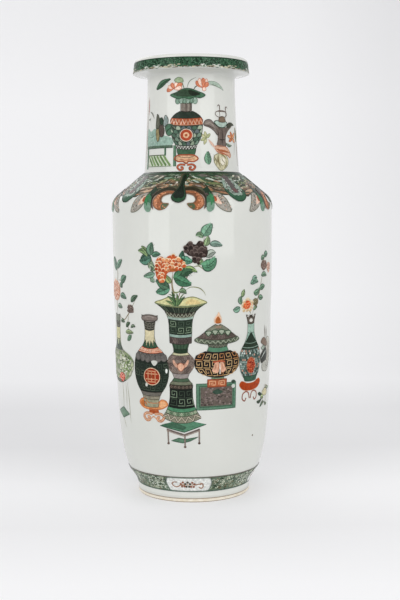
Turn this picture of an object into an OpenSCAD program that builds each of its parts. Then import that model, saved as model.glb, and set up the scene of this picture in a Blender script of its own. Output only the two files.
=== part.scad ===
// Rouleau vase in porcelain: thrown sections luted with slip, then glazed and enamelled.
// Millimetres, +Z up, origin at the centre of the face that the foot ring rests on.

/* [Foot] */
// Outside diameter of the foot ring
foot_d = 117.4; // [100:0.2:130]
// Height of the upright outside of the foot ring
foot_h = 9; // [6:0.5:14]
// Width of the rim that the vase rests on
foot_rim_w = 7.5; // [6:0.5:12]
// Bevel on both edges of the resting rim
foot_bevel = 1.2; // [0.5:0.1:2]
// Height of the ledge that the base is set on
ledge_h = 6; // [4:0.5:10]
// Wall of the foot ring beside the base
seat_wall = 3.5; // [2.5:0.1:4]
// Height of the cove above the foot
cove_h = 17; // [12:0.5:24]
// Diameter at the top of the cove
cove_d = 135.6; // [132:0.2:145]
// Thickness of the base
base_t = 8; // [6:0.5:10]

/* [Body] */
// Height of the lower half of the body
lower_h = 164; // [120:1:220]
// Height of the upper half of the body
upper_h = 114; // [80:1:160]
// Largest diameter of the body
body_d = 165.8; // [160:0.2:190]
// How far the seam between the two halves is drawn in
waist_in = 1.2; // [0:0.1:4]
// How far the long taper draws the wall in by the foot
body_taper = 7.3; // [4:0.1:10]

/* [Shoulder] */
// Height of the shoulder
shoulder_h = 33; // [26:0.5:45]
// Radius of the rounding where the body turns into the shoulder
shoulder_round = 11; // [8:0.5:16]
// Depth of the upright collar inside, under the neck
collar_h = 4; // [2:0.5:8]

/* [Neck] */
// Height of the neck
neck_h = 92.5; // [60:0.5:130]
// Diameter of the neck at the shoulder
neck_base_d = 98; // [90:0.5:108]
// Diameter of the neck under the mouth
neck_top_d = 89.8; // [80:0.2:100]

/* [Mouth] */
// Diameter of the mouth at its lower edge
mouth_d = 118.8; // [108:0.2:135]
// Height of the curve under the flange
flange_h = 8.4; // [6:0.2:16]
// Thickness of the flange
flange_t = 5; // [4:0.1:6]
// Height of the upright edge of the mouth
lip_h = 9.6; // [7:0.2:14]
// How far the upright edge leans in towards its top
lip_lean = 1.3; // [0:0.1:3]
// Height of the rounded top of the lip
lip_crown = 2.1; // [1:0.1:3]

/* [Walls] */
// Wall of the body above the foot
foot_wall = 7.5; // [6:0.1:9]
// Wall of the body at its seam and above
body_wall = 6.5; // [5:0.1:7.5]
// Wall of the neck
neck_wall = 5.5; // [4:0.1:7]
// Wall of the lip
lip_wall = 5.2; // [4:0.1:6.5]

/* [Slip, glaze and enamel] */
// Thickness of the slip in a seam
slip_t = 1.2; // [0.8:0.1:1.8]
// Height of the ridge that a seam leaves inside
ridge_h = 0.8; // [0.4:0.1:1.2]
// How far the slip fills the corner between shoulder and neck
corner_fill = 1.5; // [0.5:0.1:2.5]
// Thickness of the glaze
glaze_t = 0.4; // [0.2:0.05:0.5]
// Height of the bare edge of the foot, left free of glaze
bare_h = 3.2; // [2.5:0.1:4.5]
// Thickness of the enamel
enamel_t = 0.2; // [0.1:0.05:0.3]
// Clearance between the enamel and the glaze that it lies on
enamel_gap = 0.12; // [0.08:0.01:0.2]
// Lappets of the enamel mantle that hang over the shoulder, two sizes in turn
lappet_pairs = 4; // [2:1:4]
// Radius of the large lappets
large_lappet_r = 26; // [20:0.5:30]
// Radius of the small lappets
small_lappet_r = 19; // [15:0.5:24]
// Height of the lappets' centres above the body
lappet_rise = 12; // [8:0.5:16]
// Height of the mantle's edge between lappets, above the body
mantle_rise = 7; // [4:0.5:12]

/* [Hidden] */

// Facets of a turn, and points along each curved stretch of the outline
$fn = 120;
steps = 20;

// How sharply each stretch of the thrown outline curves
cove_power = 1.6;
taper_power = 2;
round_power = 8;
swell_power = 6;
neck_power = 1.6;
// How closely the points crowd towards the tight curve above the foot
crowd_power = 1.5;

porcelain = "ivory";
slip_colour = "antiquewhite";
glaze_colour = "#dde1da";
enamel_colour = "#24553c";

// Radii
foot_r = foot_d / 2;
cove_r = cove_d / 2;
body_r = body_d / 2;
waist_r = body_r - waist_in;
neck_base_r = neck_base_d / 2;
neck_top_r = neck_top_d / 2;
neck_in_r = neck_base_r - neck_wall;
mouth_r = mouth_d / 2;
lip_r = mouth_r - lip_lean;
lip_in_r = lip_r - lip_wall;
recess_r = foot_r - foot_rim_w;
seat_r = foot_r - seat_wall;
base_r = seat_r - slip_t;
// What the quick curve above the foot still has to draw in after the long taper
base_round = waist_r - cove_r - body_taper;

// Heights of the seams and edges; each seam's slip lies just above its height
z_foot = foot_h + cove_h;
z_waist = z_foot + lower_h;
z_shoulder = z_waist + upper_h;
z_neck = z_shoulder + shoulder_h;
z_mouth = z_neck + neck_h;
z_lip = z_mouth + flange_h + lip_h;
z_under = ledge_h + slip_t;
z_floor = z_under + base_t;

// Outlines are lists of [radius, height]
function reverse(list) = [for (i = [len(list) - 1 : -1 : 0]) list[i]];
function last(list) = list[len(list) - 1];
function tail(list) = [for (i = [1 : len(list) - 1]) list[i]];
function between(from, to, share) = from + (to - from) * share;
function oval(centre, radii, from, to) =
    [for (i = [0 : steps]) let (a = between(from, to, i / steps))
        centre + [radii.x * cos(a), radii.y * sin(a)]];
// Direction from a circle's centre to where a line from a point touches it
function touch_angle(centre, radius, point) =
    atan2(point.y - centre.y, point.x - centre.x) - acos(radius / norm(point - centre));
function normal(from, to) = let (d = (to - from) / norm(to - from)) [d.y, -d.x];
// An outline moved out by a distance at right angles to itself
function shifted(path, distance) =
    [for (i = [0 : len(path) - 1])
        let (before = max(i, 1), after = min(i + 1, len(path) - 1),
             n1 = normal(path[before - 1], path[before]), n2 = normal(path[after - 1], path[after]))
        path[i] + distance * (n1 + n2) / (1 + n1 * n2)];
function coat(path, thickness) = concat(path, reverse(shifted(path, thickness)));
function enamel_coat(path) = coat(shifted(path, enamel_gap), enamel_t);

// Foot: upright outside, cove, and the ledge that holds the base
cove = [for (i = [1 : steps]) let (t = i / steps)
        [between(foot_r, cove_r, pow(t, cove_power)), foot_h + cove_h * t]];
foot_top_in = [cove_r - foot_wall, z_foot];
foot_out = concat([[foot_r - foot_bevel, 0], [foot_r, foot_bevel], [foot_r, foot_h]], cove);
foot_in = [foot_top_in, [seat_r, z_floor], [seat_r, ledge_h], [recess_r, ledge_h],
           [recess_r, foot_bevel], [recess_r + foot_bevel, 0]];

// Lower body: a long taper and a quick curve above the foot
function lower_r(z) = let (left = (z_waist - z) / lower_h)
    waist_r - body_taper * pow(left, taper_power) - base_round * pow(left, round_power);
function lower_wall(z) = between(foot_wall, body_wall, (z - z_foot) / lower_h);
lower_z = [for (i = [0 : steps]) between(z_foot + slip_t, z_waist, pow(i / steps, crowd_power))];
lower_out = [for (z = lower_z) [lower_r(z), z]];
lower_in = [for (z = lower_z) [lower_r(z) - lower_wall(z), z]];

// Upper body: swells a little above the seam and then stands straight
function upper_r(z) = let (left = (z_shoulder - z) / upper_h)
    body_r - (body_r - waist_r) * pow(left, swell_power);
upper_z = [for (i = [0 : steps]) between(z_waist + slip_t, z_shoulder, pow(i / steps, crowd_power))];
upper_out = [for (z = upper_z) [upper_r(z), z]];
upper_in = [for (z = upper_z) [upper_r(z) - body_wall, z]];

// Shoulder: a rounding and a straight slope up to the neck
round_in = max(shoulder_round - body_wall, 0.5);
round_centre = [body_r - shoulder_round, z_shoulder + slip_t];
round_in_centre = [body_r - body_wall - round_in, z_shoulder + slip_t];
shoulder_top = [neck_base_r + corner_fill, z_neck];
collar_low = [neck_in_r, z_neck - collar_h];
shoulder_out = concat(
    oval(round_centre, [1, 1] * shoulder_round, 0, touch_angle(round_centre, shoulder_round, shoulder_top)),
    [shoulder_top]);
shoulder_in = concat(
    oval(round_in_centre, [1, 1] * round_in, 0, touch_angle(round_in_centre, round_in, collar_low)),
    [collar_low, [neck_in_r, z_neck]]);

// Neck: narrows a little towards the mouth
function neck_r(z) = let (left = (z_mouth - z) / neck_h)
    between(neck_top_r, neck_base_r, pow(left, neck_power));
neck_z = [for (i = [0 : steps]) between(z_neck + slip_t, z_mouth, i / steps)];
neck_out = [for (z = neck_z) [neck_r(z), z]];
neck_in = [for (z = neck_z) [neck_r(z) - neck_wall, z]];

// Mouth: a hollow curve out to the flange, an upright edge and a rounded lip round a shallow dish
flange_centre = [mouth_r, z_mouth + slip_t];
flange_radii = [mouth_r - neck_top_r, flange_h - slip_t];
dish_radii = flange_radii + [neck_wall, flange_t];
dish_edge = acos((lip_in_r - mouth_r) / dish_radii.x);
crown_centre = [lip_r - lip_wall / 2, z_lip];
crown_radii = [lip_wall / 2, lip_crown];
mouth_out = concat(oval(flange_centre, flange_radii, 180, 90), oval(crown_centre, crown_radii, 0, 90));
mouth_in = concat(tail(oval(crown_centre, crown_radii, 90, 180)),
                  oval(flange_centre, dish_radii, dish_edge, 180));

// Ridge that a seam leaves inside, from its upper edge down
function ridge(above, below) =
    [for (share = [0.25, 0.75]) between(above, below, share) - [ridge_h, 0]];

// The whole outline under the glaze: up the outside, over the lip and down the inside to the floor
outer_path = concat([[foot_r, bare_h], [foot_r, foot_h]], cove, lower_out, upper_out, shoulder_out,
                    neck_out, mouth_out);
inner_path = concat(mouth_in, ridge(last(mouth_in), last(neck_in)),
                    reverse(neck_in), ridge(neck_in[0], last(shoulder_in)),
                    reverse(shoulder_in), ridge(shoulder_in[0], last(upper_in)),
                    reverse(upper_in), ridge(upper_in[0], last(lower_in)),
                    reverse(lower_in), ridge(lower_in[0], foot_top_in),
                    [foot_top_in, [seat_r, z_floor], [0, z_floor]]);
whole_path = concat(outer_path, inner_path);
skin = shifted(whole_path, glaze_t);
apex = len(outer_path) - 1;
// Where the upright edge of the mouth starts and ends in the outline
edge_top = apex - steps;
edge_low = edge_top - 1;
mantle_low = z_shoulder + lappet_rise - large_lappet_r;

module revolve(outline) {
    rotate_extrude() polygon(outline);
}

// Slip ring between two sections, from the upper one's ends to the lower one's
module seam(above_out, above_in, below_in, below_out) {
    color(slip_colour)
        revolve(concat([below_out, above_out, above_in], ridge(above_in, below_in), [below_in]));
}

module foot_ring() {
    color(porcelain) revolve(concat(foot_out, foot_in));
}

module base_disc() {
    color(porcelain) revolve([[0, z_under], [base_r, z_under], [base_r, z_floor], [0, z_floor]]);
}

module lower_body() {
    color(porcelain) revolve(concat(lower_out, reverse(lower_in)));
}

module upper_body() {
    color(porcelain) revolve(concat(upper_out, reverse(upper_in)));
}

module shoulder() {
    color(porcelain) revolve(concat(shoulder_out, reverse(shoulder_in)));
}

module neck() {
    color(porcelain) revolve(concat(neck_out, reverse(neck_in)));
}

module mouth_rim() {
    color(porcelain) revolve(concat(mouth_out, mouth_in));
}

// Slip under and round the base
module base_slip() {
    color(slip_colour)
        revolve([[recess_r, ledge_h], [seat_r, ledge_h], [seat_r, z_floor], [base_r, z_floor],
                 [base_r, z_under], [recess_r, z_under]]);
}

module foot_slip() {
    seam(lower_out[0], lower_in[0], foot_top_in, last(cove));
}

module waist_slip() {
    seam(upper_out[0], upper_in[0], last(lower_in), last(lower_out));
}

module shoulder_slip() {
    seam(shoulder_out[0], shoulder_in[0], last(upper_in), last(upper_out));
}

module neck_slip() {
    seam(neck_out[0], neck_in[0], last(shoulder_in), last(shoulder_out));
}

module mouth_slip() {
    seam(mouth_out[0], last(mouth_in), last(neck_in), last(neck_out));
}

// Glaze outside, from the bare foot to the top of the lip
module outer_glaze() {
    color(glaze_colour)
        revolve(concat(outer_path, reverse([for (i = [0 : apex]) skin[i]])));
}

// Glaze inside, from the top of the lip to the middle of the floor
module inner_glaze() {
    ends = len(whole_path) - 1;
    color(glaze_colour)
        revolve(concat([for (i = [apex : ends]) whole_path[i]],
                       reverse([for (i = [apex : ends]) skin[i]])));
}

// Glaze in the recess under the base
module base_glaze() {
    color(glaze_colour)
        revolve(coat([[0, z_under], [recess_r, z_under], [recess_r, bare_h]], glaze_t));
}

// Enamel on the upright edge of the mouth
module rim_enamel() {
    color(enamel_colour) revolve(enamel_coat([skin[edge_low], skin[edge_top]]));
}

// Enamel mantle over the shoulder, with large and small lappets in turn
module shoulder_enamel() {
    mantle = [for (i = [0 : apex - 1])
        if (outer_path[i + 1].y > mantle_low && outer_path[i].y <= z_neck) skin[i]];
    turn = 360 / lappet_pairs;
    color(enamel_colour) intersection() {
        revolve(enamel_coat(mantle));
        union() {
            translate([0, 0, z_shoulder + mantle_rise]) cylinder(r = body_d, h = shoulder_h);
            for (i = [0 : lappet_pairs - 1]) {
                lappet(i * turn, large_lappet_r);
                lappet((i + 0.5) * turn, small_lappet_r);
            }
        }
    }
}

// Radial round that shapes one lappet where it hangs over the body; the first faces the front
module lappet(angle, radius) {
    rotate([0, 0, angle - 90])
        translate([body_r - shoulder_round, 0, z_shoulder + lappet_rise])
            rotate([0, 90, 0]) cylinder(r = radius, h = 2 * shoulder_round);
}

// Enamel band on the cove above the foot
module foot_enamel() {
    color(enamel_colour) revolve(enamel_coat([for (i = [1 : steps + 1]) skin[i]]));
}

foot_ring();
base_disc();
lower_body();
upper_body();
shoulder();
neck();
mouth_rim();
base_slip();
foot_slip();
waist_slip();
shoulder_slip();
neck_slip();
mouth_slip();
outer_glaze();
inner_glaze();
base_glaze();
rim_enamel();
shoulder_enamel();
foot_enamel();
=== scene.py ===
import math
import random

import bpy
from mathutils import Matrix, Vector
from mathutils.geometry import delaunay_2d_cdt


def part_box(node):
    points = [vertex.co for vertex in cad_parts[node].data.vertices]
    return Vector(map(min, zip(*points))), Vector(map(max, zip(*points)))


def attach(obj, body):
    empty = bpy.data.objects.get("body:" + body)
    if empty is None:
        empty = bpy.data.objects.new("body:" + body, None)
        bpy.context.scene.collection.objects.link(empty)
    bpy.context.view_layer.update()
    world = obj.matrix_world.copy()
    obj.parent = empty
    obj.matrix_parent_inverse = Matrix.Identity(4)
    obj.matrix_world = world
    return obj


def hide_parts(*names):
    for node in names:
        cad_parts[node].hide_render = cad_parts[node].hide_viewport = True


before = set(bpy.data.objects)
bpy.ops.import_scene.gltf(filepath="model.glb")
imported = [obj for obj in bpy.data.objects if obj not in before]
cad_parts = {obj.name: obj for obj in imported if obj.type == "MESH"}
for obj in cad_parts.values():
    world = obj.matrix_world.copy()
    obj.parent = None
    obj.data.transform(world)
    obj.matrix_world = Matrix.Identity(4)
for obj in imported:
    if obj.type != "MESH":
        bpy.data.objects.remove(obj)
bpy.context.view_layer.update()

scene = bpy.context.scene
mm = 0.001


# Camera: in front of the vase, level with the middle of its body and tilted a little down.
# Its place was fitted to the ellipses of the mouth and the foot band.
camera_place = Vector((0, -1.1298, 0.3000))
camera_tilt = math.radians(4.98)
camera_pan = math.radians(0.39)
camera_roll = math.radians(0.38)
camera_lens = 64.5

camera_data = bpy.data.cameras.new("camera")
camera_data.lens = camera_lens
camera = bpy.data.objects.new("camera", camera_data)
scene.collection.objects.link(camera)
camera.matrix_world = (
    Matrix.Translation(camera_place)
    @ Matrix.Rotation(-camera_pan, 4, "Z")
    @ Matrix.Rotation(math.pi / 2 - camera_tilt, 4, "X")
    @ Matrix.Rotation(-camera_roll, 4, "Z")
)
scene.camera = camera


# Bare porcelain: the thrown sections, the slab of the base and the slip that lutes them.
# Fired white clay; only the turned edge of the foot stays free of glaze.
def linear(red, green, blue):
    """The scene's own value of a colour given as 0 to 255 for each of red, green and blue."""
    shares = [part / 255 for part in (red, green, blue)]
    return [s / 12.92 if s <= 0.04045 else ((s + 0.055) / 1.055) ** 2.4 for s in shares] + [1]


def new_material(name):
    """A material with its shader, and a coordinate socket that follows the object."""
    material = bpy.data.materials.new(name)
    material.use_nodes = True
    shader = material.node_tree.nodes["Principled BSDF"]
    place = material.node_tree.nodes.new("ShaderNodeTexCoord")
    return material, shader, place.outputs["Object"]


def add_node(tree, kind, inputs=None, **settings):
    """Adds a node; each input is given a value or the socket that feeds it."""
    node = tree.nodes.new(kind)
    for name, value in settings.items():
        setattr(node, name, value)
    for key, value in (inputs or {}).items():
        if isinstance(value, bpy.types.NodeSocket):
            tree.links.new(value, node.inputs[key])
        else:
            node.inputs[key].default_value = value
    return node


def calculate(tree, operation, first, second=0.0):
    """The result of a calculation with two values."""
    return add_node(tree, "ShaderNodeMath", {0: first, 1: second}, operation=operation).outputs[0]


def fade(tree, value, start, end, low, high):
    """A value that goes from low to high while another one goes from start to end."""
    node = add_node(tree, "ShaderNodeMapRange", {
        "Value": value, "From Min": start, "From Max": end, "To Min": low, "To Max": high})
    return node.outputs["Result"]


def add_grain(material, shader, place, scale, colours, height):
    """Varies a material's colour between two colours with noise, and roughens it by a height."""
    tree = material.node_tree
    noise = add_node(tree, "ShaderNodeTexNoise", {"Vector": place, "Scale": scale, "Detail": 5.0})
    ramp = add_node(tree, "ShaderNodeValToRGB", {"Fac": noise.outputs["Fac"]})
    ramp.color_ramp.elements[0].position = 0.3
    ramp.color_ramp.elements[1].position = 0.7
    for element, colour in zip(ramp.color_ramp.elements, colours):
        element.color = linear(*colour)
    bump = add_node(tree, "ShaderNodeBump", {"Height": noise.outputs["Fac"], "Distance": height})
    tree.links.new(ramp.outputs["Color"], shader.inputs["Base Color"])
    tree.links.new(bump.outputs["Normal"], shader.inputs["Normal"])


biscuit, biscuit_shader, biscuit_place = new_material("biscuit")
add_grain(biscuit, biscuit_shader, biscuit_place, 240, [(232, 220, 196), (248, 242, 228)], 0.15 * mm)
biscuit_shader.inputs["Roughness"].default_value = 0.75

# Scorch: bare clay burns brown close under the wiped line of the glaze; the clay is also browner in the
# lowest millimetre of the foot, darkest at the bottom
wiped_back = 1.2 * mm
bare_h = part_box("outer_glaze")[0].z + wiped_back
scorch_gap = 0.5 * mm
bottom_brown_full = 0.4 * mm
bottom_brown_end = 1.0 * mm
scorch_share = 0.9
scorch_brown = (128, 98, 68)
biscuit_height = add_node(biscuit.node_tree, "ShaderNodeSeparateXYZ", {0: biscuit_place}).outputs["Z"]
scorch = calculate(
    biscuit.node_tree, "MAXIMUM",
    fade(biscuit.node_tree, biscuit_height, bare_h - wiped_back, bare_h - scorch_gap, 0.0, scorch_share),
    fade(biscuit.node_tree, biscuit_height, bottom_brown_full, bottom_brown_end, scorch_share, 0.0))
biscuit_colour = biscuit_shader.inputs["Base Color"].links[0].from_socket
scorched = add_node(biscuit.node_tree, "ShaderNodeMix", {
    0: scorch, 6: biscuit_colour, 7: linear(*scorch_brown)}, data_type="RGBA")
biscuit.node_tree.links.new(scorched.outputs[2], biscuit_shader.inputs["Base Color"])

clay_nodes = ["foot_ring", "base_disc", "lower_body", "upper_body", "shoulder", "neck", "mouth_rim",
              "base_slip", "foot_slip", "waist_slip", "shoulder_slip", "neck_slip", "mouth_slip"]
for name in clay_nodes:
    clay_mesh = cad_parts[name].data
    clay_mesh.materials.clear()
    clay_mesh.materials.append(biscuit)


# Shoulder clay: the wall from the waist to the foot of the neck, and the two seams of slip in it.
# Thrown porcelain, spun along the vase's outlines, because the shoulder lies lower than in the solids.
z_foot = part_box("foot_ring")[1].z
z_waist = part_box("lower_body")[1].z
z_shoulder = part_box("upper_body")[1].z
z_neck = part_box("shoulder")[1].z
z_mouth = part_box("neck")[1].z
slip_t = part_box("upper_body")[0].z - z_waist
cove_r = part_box("foot_ring")[1].x
waist_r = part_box("lower_body")[1].x
body_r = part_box("upper_body")[1].x
neck_base_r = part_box("neck")[1].x
mouth_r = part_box("mouth_rim")[1].x
crown_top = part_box("mouth_rim")[1].z
floor_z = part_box("base_disc")[1].z

foot_r = 58.7 * mm
foot_h = 9 * mm
neck_top_r = 44.9 * mm
shoulder_round = 17 * mm
round_drop = 6.5 * mm
shoulder_top_r = 50.5 * mm
shoulder_drop = 3.6 * mm
z_slope_top = z_neck - shoulder_drop
body_taper = 7.3 * mm
lip_lean = 1.3 * mm
lip_r = mouth_r - lip_lean
lip_crown = 2.1 * mm
lip_wall = 5.2 * mm
lip_in_r = lip_r - lip_wall
flange_t = 5 * mm
body_wall = 6.5 * mm
foot_wall = 7.5 * mm
neck_wall = 5.5 * mm
z_lip = crown_top - lip_crown
flange_h = 8.4 * mm
z_flange = z_mouth + flange_h
edge_drop = 2 * mm
z_edge = z_flange - edge_drop
foot_curve = 1.6
body_curve = 2
cove_curve = 8
swell_curve = 6
neck_curve = 1.6
curve_steps = 24


def between(start, end, share):
    """The value a share of the way from start to end."""
    return start + (end - start) * share


def stretch(count, function):
    """Points along one stretch of the outline, from a function of the share of the way along it."""
    return [Vector(function(i / count)) for i in range(count + 1)]


def oval(centre, radii, start, end):
    """An arc of an ellipse between two directions in degrees."""
    return stretch(curve_steps, lambda share: (
        centre[0] + radii[0] * math.cos(math.radians(between(start, end, share))),
        centre[1] + radii[1] * math.sin(math.radians(between(start, end, share))),
    ))


def lower_r(z):
    """The radius of the lower body, which narrows to the cove over the foot."""
    left = (z_waist - z) / (z_waist - z_foot)
    tapered = waist_r - body_taper * left ** body_curve
    return tapered - (waist_r - cove_r - body_taper) * left ** cove_curve


def upper_r(z):
    """The radius of the upper body, which swells a little up to the shoulder."""
    left = (z_shoulder - z) / (z_shoulder - z_waist)
    return body_r - (body_r - waist_r) * left ** swell_curve


def neck_r(z):
    """The radius of the neck, which narrows from its foot to the mouth."""
    return between(neck_top_r, neck_base_r, ((z_mouth - z) / (z_mouth - z_neck)) ** neck_curve)


round_z = z_shoulder + slip_t - round_drop
round_centre = (body_r - shoulder_round, round_z)
slope = Vector((shoulder_top_r, z_slope_top)) - Vector(round_centre)
touch = math.degrees(math.atan2(slope.y, slope.x) - math.acos(shoulder_round / slope.length))

outer_clay = (
    [Vector((foot_r, bare_h)), Vector((foot_r, foot_h))]
    + stretch(curve_steps, lambda t: (between(foot_r, cove_r, t ** foot_curve),
                                      between(foot_h, z_foot, t)))[1:]
    + stretch(2 * curve_steps, lambda t: (lower_r(between(z_foot, z_waist, t)),
                                          between(z_foot, z_waist, t)))[1:]
    + stretch(curve_steps, lambda t: (upper_r(between(z_waist, round_z, t)),
                                      between(z_waist, round_z, t)))[1:]
    + oval(round_centre, (shoulder_round, shoulder_round), 0, touch)[1:]
    + [Vector((shoulder_top_r, z_slope_top))]
    + stretch(curve_steps, lambda t: (neck_r(between(z_slope_top + slip_t, z_mouth, t)),
                                      between(z_slope_top + slip_t, z_mouth, t)))
    + oval((mouth_r, z_mouth + slip_t), (mouth_r - neck_top_r, z_edge - z_mouth - slip_t), 180, 90)
    + oval((lip_r - lip_wall / 2, z_lip), (lip_wall / 2, lip_crown), 0, 90)
)
dish_r = neck_top_r - neck_wall
inner_clay = (
    oval((lip_r - lip_wall / 2, z_lip), (lip_wall / 2, lip_crown), 90, 180)
    + oval((lip_in_r, z_mouth), (lip_in_r - dish_r, z_flange + flange_t - z_mouth), 90, 180)
    + stretch(curve_steps, lambda t: (neck_r(between(z_mouth, z_slope_top, t)) - neck_wall,
                                      between(z_mouth, z_slope_top, t)))[1:]
    + oval((body_r - shoulder_round, round_z), (shoulder_round - body_wall,) * 2, touch, 0)
    + stretch(curve_steps, lambda t: (upper_r(between(round_z, z_waist, t)) - body_wall,
                                      between(round_z, z_waist, t)))[1:]
    + stretch(2 * curve_steps, lambda t: (
        lower_r(between(z_waist, z_foot, t)) - between(body_wall, foot_wall, t),
        between(z_waist, z_foot, t)))[1:]
    + [Vector((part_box("base_disc")[1].x, floor_z)), Vector((0, floor_z))]
)


def new_tree(name, inputs):
    """A Geometry Nodes tree with named inputs; gives the tree, its inputs and its output node."""
    tree = bpy.data.node_groups.new(name, "GeometryNodeTree")
    tree.interface.new_socket("Geometry", in_out="OUTPUT", socket_type="NodeSocketGeometry")
    tree.interface.new_socket("Geometry", in_out="INPUT", socket_type="NodeSocketGeometry")
    for label, kind in inputs.items():
        tree.interface.new_socket(label, in_out="INPUT", socket_type="NodeSocket" + kind)
    given = tree.nodes.new("NodeGroupInput")
    return tree, given.outputs, tree.nodes.new("NodeGroupOutput")


def run_tree(name, mesh, tree, values):
    """Runs a tree on a mesh with its inputs set, and gives the result as a plain object."""
    source = bpy.data.objects.new(name, mesh)
    scene.collection.objects.link(source)
    modifier = source.modifiers.new("shape", "NODES")
    modifier.node_group = tree
    for item in tree.interface.items_tree:
        if item.in_out == "INPUT" and item.name in values:
            modifier[item.identifier] = values[item.name]
    source.update_tag()
    graph = bpy.context.evaluated_depsgraph_get()
    made = bpy.data.meshes.new_from_object(
        source.evaluated_get(graph), preserve_all_data_layers=True, depsgraph=graph)
    source.modifiers.remove(modifier)
    source.data = made
    return source


# The tree spins an outline, given as points in the plane of X and Z, round the vase's axis
weld_reach = 0.002 * mm
spin, spin_given, spin_out = new_tree(
    "spin an outline", {"Points": "Int", "Facets": "Int", "Material": "Material"})
last_point = calculate(spin, "SUBTRACT", spin_given["Points"], 1.0)
sheet_grid = add_node(spin, "GeometryNodeMeshGrid", {
    "Size X": last_point, "Size Y": spin_given["Facets"], "Vertices X": spin_given["Points"],
    "Vertices Y": calculate(spin, "ADD", spin_given["Facets"], 1.0)})
grid_place = add_node(spin, "ShaderNodeSeparateXYZ", {
    0: add_node(spin, "GeometryNodeInputPosition").outputs[0]})
row = calculate(spin, "ADD", grid_place.outputs["X"], calculate(spin, "MULTIPLY", last_point, 0.5))
turn = calculate(spin, "MULTIPLY", calculate(spin, "DIVIDE", grid_place.outputs["Y"], spin_given["Facets"]),
                 -math.tau)
outline_point = add_node(spin, "GeometryNodeSampleIndex", {
    "Geometry": spin_given["Geometry"], "Value": add_node(spin, "GeometryNodeInputPosition").outputs[0],
    "Index": calculate(spin, "ROUND", row)}, data_type="FLOAT_VECTOR", domain="POINT")
outline_place = add_node(spin, "ShaderNodeSeparateXYZ", {0: outline_point.outputs["Value"]})
spun_place = add_node(spin, "ShaderNodeCombineXYZ", {
    "X": calculate(spin, "MULTIPLY", outline_place.outputs["X"], calculate(spin, "COSINE", turn)),
    "Y": calculate(spin, "MULTIPLY", outline_place.outputs["X"], calculate(spin, "SINE", turn)),
    "Z": outline_place.outputs["Z"]})
spun = add_node(spin, "GeometryNodeSetPosition", {
    "Geometry": sheet_grid.outputs["Mesh"], "Position": spun_place.outputs[0]})
welded = add_node(spin, "GeometryNodeMergeByDistance", {
    "Geometry": spun.outputs[0], "Distance": weld_reach})
smoothed = add_node(spin, "GeometryNodeSetShadeSmooth", {"Geometry": welded.outputs[0]})
spin_whole = add_node(spin, "GeometryNodeRealizeInstances", {"Geometry": smoothed.outputs[0]})
spin_painted = add_node(spin, "GeometryNodeSetMaterial", {
    "Geometry": spin_whole.outputs[0], "Material": spin_given["Material"]})
spin.links.new(spin_painted.outputs[0], spin_out.inputs["Geometry"])

facets = 248


def spin_outline(name, section, material):
    """A piece spun from a closed outline."""
    outline = bpy.data.meshes.new(name)
    outline.from_pydata([(p.x, 0, p.y) for p in section], [], [])
    return run_tree(name, outline, spin, {"Points": len(section), "Facets": facets, "Material": material})


def path_r(path, z):
    """The radius of an outline at a height, between two of its points."""
    for a, b in zip(path, path[1:]):
        if a.y != b.y and min(a.y, b.y) <= z <= max(a.y, b.y):
            return between(a.x, b.x, (z - a.y) / (b.y - a.y))


def spin_clay(node, low, high):
    """The wall between two heights, in place of the solid of that name."""
    section = [Vector((path_r(outer_clay, low), low))]
    section += [p for p in outer_clay if low < p.y < high]
    section += [Vector((path_r(path, high), high)) for path in (outer_clay, inner_clay)]
    section += [p for p in inner_clay if low < p.y < high]
    section += [Vector((path_r(inner_clay, low), low)), section[0]]
    return spin_outline(node + "_clay", section, biscuit)


for node, low, high, slot in (
    ("upper_body", z_waist + slip_t, round_z, "porcelain"),
    ("shoulder_slip", round_z, round_z + slip_t, "slip"),
    ("shoulder", round_z + slip_t, z_neck, "porcelain"),
    ("neck_slip", z_neck, z_neck + slip_t, "slip"),
):
    piece = spin_clay(node, low, high)
    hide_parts(node)
    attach(piece, "root")


# Glaze: a clear glassy coat with a green-grey cast over the whole vase, outside and inside.
# It is poured and dipped on the raw clay and fired with it; a wiped line ends it above the foot.
glaze_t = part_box("outer_glaze")[1].x - body_r


def shifted(path, distance):
    """An outline moved sideways, out of the clay, by a distance at right angles to itself."""
    moved = []
    for i, point in enumerate(path):
        before = (path[max(i, 1)] - path[max(i, 1) - 1]).normalized()
        after = (path[min(i + 1, len(path) - 1)] - path[min(i + 1, len(path) - 1) - 1]).normalized()
        side = Vector((before.y, -before.x)) + Vector((after.y, -after.x))
        moved.append(point + side * distance / (1 + before.dot(after)))
    return moved


glaze, glaze_shader, glaze_place = new_material("glaze")
add_grain(glaze, glaze_shader, glaze_place, 9, [(213, 215, 209), (222, 223, 217)], 0.05 * mm)
glaze_shader.inputs["Roughness"].default_value = 0.06
glaze_shader.inputs["IOR"].default_value = 1.5
glaze_shader.inputs["Specular IOR Level"].default_value = 0.62

# Painted shade and light: the glaze is darker under the mouth's edge, where the flange shades it, and paler
# low on the foot, where light from the floor falls
under_mouth_shade = 0.84
shade_reach = 4 * mm
shade_gap = 1 * mm
foot_painted_light = 1.16
foot_light_low = 5 * mm
foot_light_high = 14 * mm
glaze_height = add_node(glaze.node_tree, "ShaderNodeSeparateXYZ", {0: glaze_place}).outputs["Z"]
painted_shade = calculate(
    glaze.node_tree, "MAXIMUM",
    fade(glaze.node_tree, glaze_height, z_mouth - shade_reach, z_edge - shade_gap, 1.0, under_mouth_shade),
    fade(glaze.node_tree, glaze_height, z_edge, z_lip, under_mouth_shade, 1.0))
painted_light_and_shade = calculate(
    glaze.node_tree, "MULTIPLY", painted_shade,
    fade(glaze.node_tree, glaze_height, foot_light_low, foot_light_high, foot_painted_light, 1.0))
glaze_colour = glaze_shader.inputs["Base Color"].links[0].from_socket
shaded_glaze_colour = add_node(glaze.node_tree, "ShaderNodeVectorMath", {
    0: glaze_colour, "Scale": painted_light_and_shade}, operation="SCALE")
glaze.node_tree.links.new(shaded_glaze_colour.outputs["Vector"], glaze_shader.inputs["Base Color"])


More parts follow.
